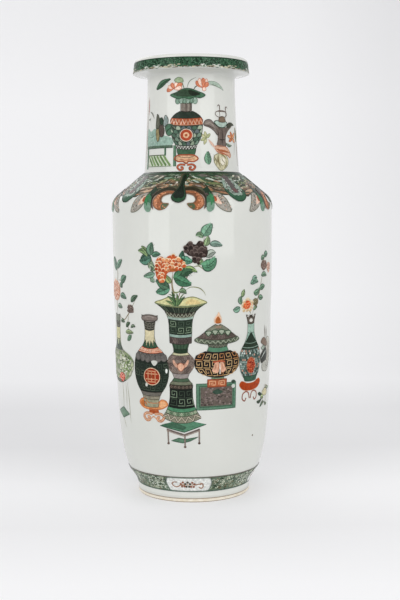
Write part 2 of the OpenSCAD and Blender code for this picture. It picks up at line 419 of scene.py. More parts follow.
def spin_coat(name, path):
    """A coat of glaze over an outline of the clay: its skin out and its underside back."""
    section = shifted(path, glaze_t) + path[::-1]
    return spin_outline(name, section + section[:1], glaze)


outer_glaze = spin_coat("glaze_outside", outer_clay)
inner_glaze = spin_coat("glaze_inside", inner_clay)
for piece, node in ((outer_glaze, "outer_glaze"), (inner_glaze, "inner_glaze")):
    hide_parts(node)
    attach(piece, "root")
base_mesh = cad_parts["base_glaze"].data
base_mesh.materials.clear()
base_mesh.materials.append(glaze)


# Rim enamel: a band of deep green enamel, stippled and seeded, round the upright edge of the mouth.
# Painted over the fired glaze and fixed in a cooler fire; its lower edge is left ragged.
class Sheet:
    """A painting drawn flat, in millimetres: x runs round the vase, z is the height over its foot."""

    lowest_lift = 0.08
    level_step = 0.05
    stroke_sink = 0.06
    skirt_sink = 0.10
    thin_end = 0.25
    grain = 3.0

    def __init__(self):
        self.points = []
        self.faces = []
        self.colours = []

    def add(self, points, faces, colour):
        """Adds faces of one colour, given by the places of their own points."""
        first = len(self.points)
        self.points += points
        self.faces += [[first + i for i in face] for face in faces]
        self.colours += [linear(*colour)] * len(faces)

    def lift(self, level):
        """How far a coat stands over the glaze; each level lies on the one below it."""
        return self.lowest_lift + self.level_step * level

    def fill(self, outline, colour, level=1):
        """A flat coat inside an outline, with a skirt that reaches down into the glaze."""
        edge = []
        for (x0, z0), (x1, z1) in zip(outline, outline[1:] + outline[:1]):
            pieces = max(1, math.ceil(math.hypot(x1 - x0, z1 - z0) / self.grain))
            edge += [(between(x0, x1, i / pieces), between(z0, z1, i / pieces)) for i in range(pieces)]
        area = sum(a[0] * b[1] - b[0] * a[1] for a, b in zip(edge, edge[1:] + edge[:1]))
        if area < 0:
            edge.reverse()
        inside = grid_inside(edge, self.grain)
        flat, _, faces, _, _, _ = delaunay_2d_cdt(
            [Vector(p) for p in edge + inside], [], [list(range(len(edge)))], 1, 1e-5)
        top = self.lift(level)
        self.add([(p.x, top, p.y) for p in flat], faces, colour)
        count = len(edge)
        skirt = [(x, y, z) for y in (-self.skirt_sink, top) for x, z in edge]
        walls = [(i, (i + 1) % count, count + (i + 1) % count, count + i) for i in range(count)]
        self.add(skirt, walls, colour)

    def stroke(self, line, width, colour, level=2, closed=False, thin_ends=False):
        """A brush line: a low ridge along a path, drawn out thin at both ends if asked."""
        corners = [Vector(p) for p in line]
        if closed:
            corners.append(corners[0])
        path = [corners[0]]
        for start, end in zip(corners, corners[1:]):
            pieces = max(1, math.ceil((end - start).length / self.grain))
            path += [start.lerp(end, (i + 1) / pieces) for i in range(pieces)]
        rails = []
        for i, point in enumerate(path):
            run = path[min(i + 1, len(path) - 1)] - path[max(i - 1, 0)]
            if closed and i in (0, len(path) - 1):
                run = path[1] - path[-2]
            side = Vector((-run.y, run.x)).normalized() * width / 2
            if thin_ends:
                side *= max(self.thin_end, math.sin(math.pi * i / (len(path) - 1)))
            low = self.lift(level) - self.stroke_sink
            rails += [(point.x + side.x, low, point.y + side.y), (point.x, self.lift(level), point.y),
                      (point.x - side.x, low, point.y - side.y)]
        faces = []
        for i in range(len(path) - 1):
            a = 3 * i
            faces += [(a + 1, a, a + 3, a + 4), (a + 2, a + 1, a + 4, a + 5)]
        self.add(rails, [face[::-1] for face in faces], colour)

    def mesh(self, name):
        """The painting as a flat mesh that carries its colours."""
        mesh = bpy.data.meshes.new(name)
        mesh.from_pydata([(x * mm, y * mm, z * mm) for x, y, z in self.points], [], self.faces)
        layer = mesh.color_attributes.new("enamel", "FLOAT_COLOR", "CORNER")
        corners = [part for colour, face in zip(self.colours, self.faces) for _ in face for part in colour]
        layer.data.foreach_set("color", corners)
        mesh.shade_smooth()
        return mesh


def grid_inside(edge, step):
    """Points of a square grid that lie inside an outline, clear of its edge."""
    found = []
    columns = [x for x, _ in edge]
    rows = [z for _, z in edge]
    z = min(rows) + step / 2
    while z < max(rows):
        x = min(columns) + step / 2
        while x < max(columns):
            crossings = 0
            near = False
            for (x0, z0), (x1, z1) in zip(edge, edge[1:] + edge[:1]):
                if (z0 > z) != (z1 > z) and x < x0 + (z - z0) * (x1 - x0) / (z1 - z0):
                    crossings += 1
                near = near or math.hypot(x0 - x, z0 - z) < step / 3
            if crossings % 2 and not near:
                found.append((x, z))
            x += step
        z += step
    return found


def disc(x, z, across, tall=None, count=14):
    """The outline of a round or oval spot."""
    tall = across if tall is None else tall
    return [(x + across * math.cos(math.tau * i / count), z + tall * math.sin(math.tau * i / count))
            for i in range(count)]


def smooth(points, steps=5, closed=False):
    """A curve through a few points."""
    count = len(points)
    path = []
    for i in range(count if closed else count - 1):
        ends = [i - 1, i, i + 1, i + 2]
        picks = [k % count for k in ends] if closed else [min(max(k, 0), count - 1) for k in ends]
        a, b, c, d = (Vector(points[k]) for k in picks)
        for j in range(steps):
            t = j / steps
            path.append((b * 2 + (c - a) * t + (a * 2 - b * 5 + c * 4 - d) * t ** 2
                         + (b * 3 - a - c * 3 + d) * t ** 3) / 2)
    if not closed:
        path.append(Vector(points[-1]))
    return [(p.x, p.y) for p in path]


# The tree repeats a flat painting round the vase and lays it on the glaze
wrap, wrap_given, wrap_out = new_tree("wrap a painting", {
    "Glaze": "Object", "Radius": "Float", "Turn": "Float", "Repeats": "Int", "Material": "Material"})
around = calculate(wrap, "MULTIPLY", wrap_given["Radius"], math.tau)
offset = add_node(wrap, "ShaderNodeCombineXYZ", {
    "X": calculate(wrap, "DIVIDE", around, wrap_given["Repeats"])})
places = add_node(wrap, "GeometryNodeMeshLine", {
    "Count": wrap_given["Repeats"], "Offset": offset.outputs[0]}, mode="OFFSET")
copies = add_node(wrap, "GeometryNodeInstanceOnPoints", {
    "Points": places.outputs[0], "Instance": wrap_given["Geometry"]})
flat_whole = add_node(wrap, "GeometryNodeRealizeInstances", {"Geometry": copies.outputs[0]})
flat_place = add_node(wrap, "ShaderNodeSeparateXYZ", {
    0: add_node(wrap, "GeometryNodeInputPosition").outputs[0]})
bearing = calculate(wrap, "ADD", wrap_given["Turn"],
                    calculate(wrap, "DIVIDE", flat_place.outputs["X"], wrap_given["Radius"]))
outward = add_node(wrap, "ShaderNodeCombineXYZ", {
    "X": calculate(wrap, "SINE", bearing),
    "Y": calculate(wrap, "MULTIPLY", calculate(wrap, "COSINE", bearing), -1.0)})
level_with = add_node(wrap, "ShaderNodeCombineXYZ", {"Z": flat_place.outputs["Z"]})
ray_reach = 0.2
ray_start = add_node(wrap, "ShaderNodeVectorMath", {
    0: outward.outputs[0], 1: (ray_reach,) * 3, 2: level_with.outputs[0]}, operation="MULTIPLY_ADD")
ray_way = add_node(wrap, "ShaderNodeVectorMath", {
    0: outward.outputs[0], 1: (-1.0,) * 3}, operation="MULTIPLY")
glaze_skin = add_node(wrap, "GeometryNodeObjectInfo", {"Object": wrap_given["Glaze"]})
hit = add_node(wrap, "GeometryNodeRaycast", {
    "Target Geometry": glaze_skin.outputs["Geometry"], "Source Position": ray_start.outputs[0],
    "Ray Direction": ray_way.outputs[0], "Ray Length": ray_reach})
thickness = add_node(wrap, "ShaderNodeVectorMath", {
    0: hit.outputs["Hit Normal"], "Scale": flat_place.outputs["Y"]}, operation="SCALE")
laid_place = add_node(wrap, "ShaderNodeVectorMath", {
    0: hit.outputs["Hit Position"], 1: thickness.outputs[0]}, operation="ADD")
laid = add_node(wrap, "GeometryNodeSetPosition", {
    "Geometry": flat_whole.outputs[0], "Position": laid_place.outputs[0]})
wrap_whole = add_node(wrap, "GeometryNodeRealizeInstances", {"Geometry": laid.outputs[0]})
wrap_painted = add_node(wrap, "GeometryNodeSetMaterial", {
    "Geometry": wrap_whole.outputs[0], "Material": wrap_given["Material"]})
wrap.links.new(wrap_painted.outputs[0], wrap_out.inputs["Geometry"])

enamel, enamel_shader, enamel_place = new_material("enamel")
enamel_colour = add_node(enamel.node_tree, "ShaderNodeAttribute", attribute_name="enamel")
enamel_cloud = add_node(enamel.node_tree, "ShaderNodeTexNoise", {
    "Vector": enamel_place, "Scale": 420.0, "Detail": 4.0})
thick_tint = 0.72
thin_tint = 1.2
enamel_shade = fade(enamel.node_tree, enamel_cloud.outputs["Fac"], 0.3, 0.7, thick_tint, thin_tint)
enamel_mix = add_node(enamel.node_tree, "ShaderNodeVectorMath", {
    0: enamel_colour.outputs["Color"], "Scale": enamel_shade}, operation="SCALE")
enamel_bump = add_node(enamel.node_tree, "ShaderNodeBump", {
    "Height": enamel_cloud.outputs["Fac"], "Distance": 0.05 * mm})
enamel.node_tree.links.new(enamel_mix.outputs[0], enamel_shader.inputs["Base Color"])
enamel.node_tree.links.new(enamel_bump.outputs["Normal"], enamel_shader.inputs["Normal"])
enamel_shader.inputs["Roughness"].default_value = 0.22
enamel_shader.inputs["IOR"].default_value = 1.55
enamel_shader.inputs["Specular IOR Level"].default_value = 0.14


def lay(name, sheet, radius, bearing_degrees, repeats):
    """Lays a painting on the vase; its x of 0 comes at a bearing right of the front."""
    piece = run_tree(name, sheet.mesh(name), wrap, {
        "Glaze": outer_glaze, "Radius": radius, "Turn": math.radians(bearing_degrees),
        "Repeats": repeats, "Material": enamel})
    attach(piece, "root")
    return piece


rim_units = 6
rim_unit_w = math.tau * mouth_r / mm / rim_units
rim_low = z_edge / mm
rim_margin = 1.0
rim_high = z_lip / mm - rim_margin
rim_green = (50, 88, 62)
rim_dark = (24, 50, 33)
rim_pale = (104, 132, 110)
rim_worn = (202, 205, 196)
rim_haze = (132, 142, 122)
worn_reach = 3.0
rim_cream = (188, 182, 156)
rim_brown = (92, 76, 58)
line_dark = (44, 40, 34)
chance = random.Random(7)

rim_sheet = Sheet()
rim_sheet.grain = 2.0
rim_steps = 60
rim_ragged = 1.6
rim_edge = []
for i in range(rim_steps + 1):
    rise = rim_ragged / 2 if i in (0, rim_steps) else chance.uniform(0, rim_ragged)
    rim_edge.append((rim_unit_w * i / rim_steps, rim_low + rise))
rim_sheet.fill(rim_edge + [(rim_unit_w, rim_high), (0, rim_high)], rim_green, 0)
rim_sheet.stroke([(0, rim_high - 0.3), (rim_unit_w, rim_high - 0.3)], 0.9, rim_dark, 2)
# Stipple: colour, count, half width, half height and level of its dots
for colour, count, wide, tall, level in (
    (rim_dark, 96, 0.9, 0.8, 1), ((80, 118, 92), 84, 0.6, 0.7, 2), (rim_dark, 70, 0.6, 0.5, 3),
    (rim_pale, 24, 0.4, 0.5, 4),
):
    for _ in range(count):
        spot_w = wide * chance.uniform(0.6, 1.2)
        spot_x = chance.uniform(spot_w, rim_unit_w - spot_w)
        spot_z = chance.uniform(rim_low + 2.8, rim_high - 1.2)
        spot_h = tall * chance.uniform(0.6, 1.2)
        rim_sheet.fill(disc(spot_x, spot_z, spot_w, spot_h, 7), colour, level)
# Worn patches along the lower edge
for _ in range(62):
    worn_w = chance.uniform(0.6, 2.4)
    worn_x = chance.uniform(worn_w, rim_unit_w - worn_w)
    worn_z = rim_low + 0.5 + worn_reach * chance.random() ** 2
    patch = disc(worn_x, worn_z, worn_w, chance.uniform(0.3, 0.55), 7)
    rim_sheet.fill(patch, chance.choice((rim_worn, rim_worn, rim_cream, rim_haze)), 5)
# Long marks along that edge: colour, count, half length, width and level
for colour, count, reach, wide, level in (
    (rim_worn, 3, 5.0, 2.2, 6), (rim_cream, 3, 6.5, 1.6, 7), (rim_brown, 5, 4.2, 0.9, 8),
    (line_dark, 6, 1.8, 1.1, 9),
):
    for _ in range(count):
        mark_x = chance.uniform(reach, rim_unit_w - reach)
        mark_z = rim_low + chance.uniform(0.4, 1.9)
        mark = [(mark_x - reach, mark_z), (mark_x + reach * chance.uniform(0, 1), mark_z)]
        rim_sheet.stroke(mark, wide, colour, level, thin_ends=True)
rim_band = lay("rim_enamel_band", rim_sheet, mouth_r, 0, rim_units)
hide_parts("rim_enamel")


# Shoulder enamel: a mantle of feathery scrolls that hangs from the foot of the neck over the shoulder.
# Four large tails with orange curls and a fan between each two, in enamels fired on over the glaze.
dark_green = (36, 64, 44)
aubergine = (84, 72, 68)
iron_red = (170, 84, 52)
pink = (222, 180, 156)
blade_tip = 0.05


def blade(sheet, line, width, colour, level=1, fat=1.0, edge=None, edge_w=0.45, rib=None):
    """A leaf, feather or drop along a curved line; the greater fat, the nearer its tip it is widest."""
    path = [Vector(p) for p in smooth(line, 6)]
    left, right = [], []
    for i, point in enumerate(path):
        run = path[min(i + 1, len(path) - 1)] - path[max(i - 1, 0)]
        half = width / 2 * math.sin(math.pi * (i / (len(path) - 1)) ** fat)
        side = Vector((-run.y, run.x)).normalized() * max(half, blade_tip)
        left.append(tuple(point + side))
        right.append(tuple(point - side))
    outline = right + left[::-1]
    sheet.fill(outline, colour, level)
    if edge:
        sheet.stroke(outline, edge_w, edge, level + 1, closed=True)
    if rib:
        sheet.stroke([tuple(p) for p in path[1:-1]], edge_w, rib, level + 2, thin_ends=True)


def shape(sheet, points, colour, level=1, edge=None, edge_w=0.5, steps=4):
    """A rounded patch of enamel through a few points, outlined if asked."""
    outline = smooth(points, steps, True)
    sheet.fill(outline, colour, level)
    if edge:
        sheet.stroke(outline, edge_w, edge, level + 2, closed=True)


def lines(sheet, items, level):
    """Brush lines, each given as (width, colour, points)."""
    for width, colour, points in items:
        sheet.stroke(smooth(points), width, colour, level, thin_ends=True)


shoulder_units = 4
shoulder_unit_w = math.tau * body_r / mm / shoulder_units
half_unit = shoulder_unit_w / 2
mantle_drop = 3.2
mantle_top = z_neck / mm - mantle_drop
mantle = Sheet()


def mirrored(side, *spots):
    """Points given right of the tail, on the side asked for."""
    return [(side * x, z) for x, z in spots]


# Ground of the mantle: an olive wash with a scalloped lower edge, and a dark line under the neck
mantle_half = [
    (0, 316), (8, 317), (20, 314), (27, 311), (32, 312), (38, 313), (44, 312), (50, 311), (54, 311),
    (half_unit, 309)]
mantle.fill([(-x, z) for x, z in mantle_half[:0:-1]] + mantle_half + [
    (half_unit, mantle_top), (-half_unit, mantle_top)], (86, 86, 64), 0)
mantle.stroke([(-half_unit, mantle_top - 0.6), (half_unit, mantle_top - 0.6)], 1.6, (44, 68, 48), 7)
mantle.stroke([(-half_unit, mantle_top + 0.5), (half_unit, mantle_top + 0.5)], 1.0, (30, 36, 28), 8)
chance = random.Random(5)
feather_count = 20
feather_pieces = 6
feather_tints = (
    ((60, 52, 36), (46, 44, 32), (74, 60, 42)), ((176, 130, 96), (160, 116, 84), (196, 164, 136)),
    ((90, 68, 52), (66, 56, 42), (118, 92, 70)), ((196, 178, 160), (164, 142, 116), (124, 100, 78)),
    ((62, 72, 48), (82, 86, 58), (44, 56, 40)), ((136, 138, 94), (104, 116, 74), (160, 160, 122)),
    ((44, 68, 46), (38, 56, 40), (72, 100, 70)), ((158, 182, 166), (128, 154, 134), (200, 210, 198)),
    ((52, 66, 48), (72, 82, 62), (62, 90, 66)), ((138, 128, 124), (104, 100, 92), (122, 144, 118)),
    ((62, 92, 66), (50, 68, 50), (94, 118, 90)))
curl_tints = ((212, 142, 100), (192, 120, 82), (226, 166, 124), (140, 83, 52), (130, 79, 52))
curl_x, curl_z = 16.4, 305.8
curl_wide, curl_tall = 5.6, 7.4
curl_root, curl_tip = 100, -120


def along_curl(share):
    """A point on the middle line of the right curl, from its root to its tip."""
    turn = math.radians(between(curl_root, curl_tip, share))
    return curl_x + curl_wide * math.cos(turn), curl_z + curl_tall * math.sin(turn)


def beside(edge_x, *spots):
    """Points given inwards from the left or right edge of the unit."""
    inward = -1 if edge_x > 0 else 1
    return [(edge_x + inward * x, z) for x, z in spots]


for side in (-1, 1):
    # Feathers: rows of broken, waving strokes that sweep out from the tail and down
    for i in range(feather_count):
        row = 10.2 * i / (feather_count - 1)
        wave = chance.uniform(0, math.tau)
        sweep = smooth([
            (3, 319.6 + 1.36 * row), (14, 320.6 + 1.26 * row), (26, 318.2 + 1.42 * row),
            (38, 314.4 + 1.78 * row), (50, 311.4 + 2.02 * row), (half_unit - 1, 308.6 + 2.2 * row)], 6)
        sweep = [(x, min(z + 0.8 * math.sin(0.26 * x + wave), mantle_top - 1)) for x, z in sweep]
        cuts = sorted(chance.uniform(0.06, 0.94) for _ in range(feather_pieces - 1))
        ends = [round(cut * (len(sweep) - 1)) for cut in [0] + cuts + [1]]
        for first, last in zip(ends, ends[1:]):
            if last - first > 1:
                mantle.stroke(
                    mirrored(side, *sweep[first:last + 1]), chance.uniform(1.0, 2.6),
                    chance.choice(feather_tints[round(row)]), 1 + i % 5, thin_ends=True)
    # Blots and flecks of pale and dark enamel strewn over the feathers
    for count, small, large, level in ((34, 1.2, 2.8, 4), (60, 0.4, 0.9, 7)):
        for _ in range(count):
            share = chance.random()
            fleck_x = between(4, 60, share)
            fleck_z = between(chance.uniform(320, 331), chance.uniform(312, 330), share)
            across = chance.uniform(small, large)
            dab = mirrored(
                side, (fleck_x - 1.5 * across, fleck_z + 0.3 * across), (fleck_x, fleck_z + 0.2 * across),
                (fleck_x + 1.5 * across, fleck_z - 0.4 * across))
            mantle.stroke(smooth(dab), across * 0.8, chance.choice((
                (206, 200, 180), (168, 186, 170), (156, 152, 118), (40, 50, 36), (36, 48, 34),
                (158, 122, 92), (66, 98, 70), (150, 138, 130))), level, thin_ends=True)
    mantle.fill(disc(side * 5.6, 323.4, 1.5, 1.0, 10), (222, 216, 202), 8)
    # Orange curl, shaded brown inside, under a dark arc
    curl = mirrored(
        side, (6, 314.6), (14, 315), (21, 312.4), (25.6, 306.6), (24.8, 300.4), (19.6, 296.8),
        (13.4, 298), (9.2, 302.4), (12, 303), (15.6, 303.6), (17.4, 306.6), (15.6, 310.2), (10.4, 312),
        (6.4, 312.4))
    curl = smooth(curl, 4, True)
    mantle.fill(curl, (160, 98, 63), 7)
    shape(
        mantle, mirrored(side, (20, 313), (24.4, 308), (24.6, 302), (21, 298.4), (21.2, 303),
        (21.4, 308)), (186, 126, 92), 8)
    for _ in range(44):
        share = chance.random()
        spot_x = along_curl(share)[0] + chance.uniform(-1.8, 1.8)
        spot_z = along_curl(share)[1] + chance.uniform(-1.8, 1.8)
        mantle.fill(disc(side * spot_x, spot_z, 0.7, 0.6, 7), chance.choice(curl_tints), 9)
    shape(
        mantle, mirrored(side, (9.2, 302.4), (11.6, 298.8), (15.6, 297.4), (17, 300), (15, 303)),
        (82, 96, 70), 10)
    curl_shadow = mirrored(side, (7, 313), (12, 312.4), (16.6, 310.4), (18.2, 306.4), (16.8, 303.4))
    lines(mantle, [(1.7, (112, 78, 56), curl_shadow)], 11)
    mantle.stroke(curl, 0.8, (132, 98, 74), 11, closed=True)
    blade(
        mantle, mirrored(side, (3, 315.6), (11, 316.8), (20, 315.4), (26.6, 310.6), (28, 302)), 4.0,
        (44, 41, 25), 10, 0.7)
    blade(
        mantle, mirrored(side, (23, 313.4), (26.6, 308.6), (27.4, 302.6), (25.6, 297)), 4.2,
        (164, 142, 130), 5, 0.9)
    # Green stroke outside the curl, dark at its top and pale at its round end, lined with aubergine
    blade(mantle, mirrored(side, (27, 317), (29.5, 310), (28.5, 303), (25.5, 298)), 5, aubergine, 6, 0.9)
    stroke_line = mirrored(side, (29, 318), (32.5, 311), (32.5, 304), (30.5, 299))
    mantle.stroke(smooth(stroke_line), 7.2, (28, 52, 34), 7)
    shape(
        mantle, mirrored(side, (29, 309), (35.6, 311), (36, 302), (32.4, 298), (28.6, 300)),
        (66, 112, 84), 10)
    shape(
        mantle, mirrored(side, (28.8, 303), (32, 304), (35.6, 302.6), (35.4, 298), (32.6, 295),
        (29.2, 295.4), (28, 299.2)), (116, 148, 128), 11)
    lines(mantle, [(3.4, (56, 124, 78), mirrored(side, (32.6, 313), (34, 307), (32.4, 301)))], 12)
    # Speckled grey leaf with a red heart
    leaf = smooth(
        mirrored(side, (35, 312.6), (43, 312.4), (48.6, 307.4), (52, 300.6), (53.5, 295), (47.4, 295.2),
        (41, 298.6), (37, 303.4)), 4, True)
    mantle.fill(leaf, (162, 157, 147), 5)
    mantle.stroke(leaf, 0.7, (104, 106, 90), 7, closed=True)
    shape(
        mantle, mirrored(side, (34.5, 309), (39, 310), (42, 306), (43.5, 302), (39.5, 302.6),
        (36, 304.5)), (228, 196, 176), 8)
    shape(mantle, mirrored(side, (34.8, 308.4), (37.5, 309.6), (39, 306), (36.4, 304.6)), iron_red, 9)
    for _ in range(34):
        share = chance.random()
        spot_x = between(39, 51, share) + chance.uniform(-3.4, 3.4)
        spot_z = between(310.5, 298.5, share) + chance.uniform(-2.4, 2.4)
        mantle.fill(disc(side * spot_x, spot_z, 0.6, 0.5, 7), chance.choice((
            aubergine, (104, 112, 96), pink, (190, 188, 176))), 7)
# Tail: the long dark drop down the middle, narrow above and scalloped at its round end
drop = smooth([
    (1.4, 330.4), (0.6, 326), (-0.6, 320), (-4.6, 314), (-7.2, 309.4), (-5.4, 305.8), (-2.0, 304.2),
    (0.4, 303.8), (3.2, 304.4), (6.4, 306.4), (7.8, 310), (6.6, 315), (4.8, 320), (5.4, 325), (9, 328.4),
    (10, 331), (5, 331.4)], 4, True)
mantle.fill(drop, (36, 74, 48), 12)
inner_drop = smooth([
    (2.4, 329.6), (1.6, 326), (0.4, 320), (-3.6, 314), (-5.4, 310), (-2.6, 307.6), (0.4, 308.2),
    (3.6, 307.8), (6, 310.6), (5.2, 315), (3.6, 320), (4.2, 325), (7, 329.2), (5, 330.4)], 4, True)
mantle.fill(inner_drop, (15, 29, 18), 14)
mantle.stroke(drop, 0.8, line_dark, 16, closed=True)
# Fan: a stippled drop with a green round end and an aubergine core, half of it at either edge of the unit
for edge_x in (-half_unit, half_unit):
    fan_out = smooth(beside(edge_x, (0, 304.8), (3, 305), (7.4, 307.4), (11, 311), (12.8, 316.6)), 4)
    fan_in = smooth(beside(edge_x, (10.8, 317), (8, 313.2), (5, 310.4), (2, 310.6), (0, 309.6)), 4)
    mantle.fill(fan_out + fan_in, (50, 90, 66), 9)
    mantle.stroke(fan_out, 0.8, (32, 58, 42), 11)
    stipple = smooth(beside(edge_x, (11.4, 317), (11.6, 320), (9, 325), (5, 328.6), (0, 329.6)), 4)
    mantle.fill(fan_in[::-1] + stipple, (142, 162, 148), 8)
    core_side = smooth(beside(edge_x, (2.6, 312.8), (4.2, 315), (3.4, 319), (3.8, 324), (5.6, 329)), 4)
    mantle.fill([(edge_x, 312.4)] + core_side + [(edge_x, 331)], (92, 84, 82), 11)
    mantle.fill(beside(edge_x, (0, 313), (2.4, 314), (2, 316.4), (0, 317)), (108, 72, 70), 12)
    for _ in range(46):
        spot_z = chance.uniform(312, 327)
        spot_x = chance.uniform(3.6, 10.6 - abs(spot_z - 317) * 0.5)
        dot = disc(*beside(edge_x, (spot_x, spot_z))[0], 0.6, 0.5, 6)
        mantle.fill(dot, chance.choice(((206, 210, 202), (206, 210, 202), aubergine, dark_green)), 12)

mantle_bearing = -9.6
shoulder_mantle = lay("shoulder_enamel_mantle", mantle, body_r, mantle_bearing, shoulder_units)
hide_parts("shoulder_enamel")


# Foot enamel: a band of green diaper over the cove of the foot, with a white panel on each side.
# The panels are left in reserve, outlined, and hold small iron-red scrolls about a dark rosette.
foot_units = 4
foot_band_r = 63.0
foot_half_w = math.tau * foot_band_r / foot_units / 2
foot_low = 11.6
foot_high = 28.4
panel_mid = -0.8
panel_half = 22.8
diaper_margin = 1.6
ground_green = (104, 122, 102)
foot_sheet = Sheet()
foot_sheet.grain = 1.5
foot_sheet.fill([
    (-foot_half_w, foot_low), (foot_half_w, foot_low), (foot_half_w, foot_high),
    (-foot_half_w, foot_high)], ground_green, 0)
for z, width, colour in ((foot_high, 1.2, (104, 100, 90)), (foot_low, 1.0, (84, 104, 92))):
    foot_sheet.stroke([(-foot_half_w, z), (foot_half_w, z)], width, colour, 6)
# Diaper: short curls in dark, pale and brown, and pale dots left of the panel, which are a painted sheen
# that lightens the band's left part
chance = random.Random(11)
for _ in range(280):
    x = chance.uniform(-foot_half_w + diaper_margin, foot_half_w - diaper_margin)
    z = chance.uniform(foot_low + 1.4, foot_high - 1.4)
    curl = chance.uniform(0, math.tau)
    colour = chance.choice((
        (36, 54, 36), (44, 62, 42), (84, 92, 60), (200, 206, 184), (166, 178, 156), (128, 118, 92)))
    ring = [(x + 1.5 * math.cos(curl + a * 0.8), z + 1.2 * math.sin(curl + a * 0.8)) for a in range(6)]
    foot_sheet.stroke(ring, 0.8, colour, 2)
for _ in range(70):
    x = chance.uniform(-foot_half_w + diaper_margin, panel_mid - panel_half)
    z = chance.uniform(foot_low + 1.2, foot_high - 1.4)
    dot = disc(x, z, chance.uniform(0.5, 1.0), chance.uniform(0.4, 0.8), 7)
    foot_sheet.fill(dot, chance.choice(((206, 212, 198), (178, 190, 176))), 4)
# Panel: a white field with scrolls, and a flower between two paler ones
panel_z = (foot_low + foot_high) / 2
panel_tall = (foot_high - foot_low) / 2 - 0.6
panel_shape = (
    (-1, 0.1), (-0.94, 0.7), (-0.82, 0.97), (-0.4, 1), (0.4, 1), (0.82, 0.97), (0.94, 0.7),
    (1, 0), (0.94, -0.7), (0.82, -0.97), (0.4, -1), (-0.4, -1), (-0.82, -0.97), (-0.94, -0.7))
panel = [(panel_mid + panel_half * x, panel_z + panel_tall * z) for x, z in panel_shape]
panel = smooth(panel, 4, True)
foot_sheet.fill(panel, (236, 238, 234), 4)
foot_sheet.stroke(panel, 1.0, (128, 140, 132), 7, True)
scroll_brown = (152, 98, 74)
scroll_pale = (166, 130, 108)
scroll_thin = 0.8
for line, width in (
    ([(-12.4, 22.8), (-15.6, 22.6), (-17.8, 20.6), (-17, 18.2), (-14, 16.8), (-11, 18), (-9, 19.8)], 1.6),
    ([(-9, 20), (-7, 19), (-4.6, 20)], 1.8), ([(3.4, 20.6), (6, 19.6), (9, 20.6), (11.8, 20)], 1.8),
    ([(9.6, 17), (11.6, 15.4), (13.6, 17), (13, 20.4), (10.6, 22)], 1.7),
):
    foot_sheet.stroke(smooth(line), scroll_thin * width, scroll_pale, 6)
rosette_petals = 5
for x, z, reach, colour, level in (
    (-6.5, 19.9, 2.3, scroll_brown, 7),
    (2.7, 19.7, 2.3, scroll_brown, 7),
    (-1.9, 19.9, 2.4, (84, 76, 60), 9),
):
    for i in range(rosette_petals):
        lean = math.tau * (i / rosette_petals + 0.25)
        petal = disc(x + reach * math.cos(lean), z + 1.2 * reach * math.sin(lean), 1.2, 1.35, 9)
        foot_sheet.fill(petal, colour, level)
    foot_sheet.fill(disc(x, z, 0.9, 0.9, 7), (206, 178, 150), level)
foot_bearing = -4.0
foot_band = lay("foot_enamel_band", foot_sheet, foot_band_r * mm, foot_bearing, foot_units)
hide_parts("foot_enamel")


# Neck vase: a baluster vase with a lotus-leaf mouth, on a cloud stand, painted on the front of the neck.
# Translucent enamels inside dark outlines, with lotus flowers and reeds standing in it.
# Like all the scenes it is painted over the fired glaze, fixed in a cooler fire and repeated on the back.
grey_green = (128, 138, 122)
light_green = (124, 146, 104)
chance = random.Random(3)


def along(table, z):
    """The value at a height, from a list of (height, value)."""
    for (z0, value0), (z1, value1) in zip(table, table[1:]):
        if z <= z1:
            return between(value0, value1, max(0, (z - z0) / (z1 - z0)))
    return table[-1][1]


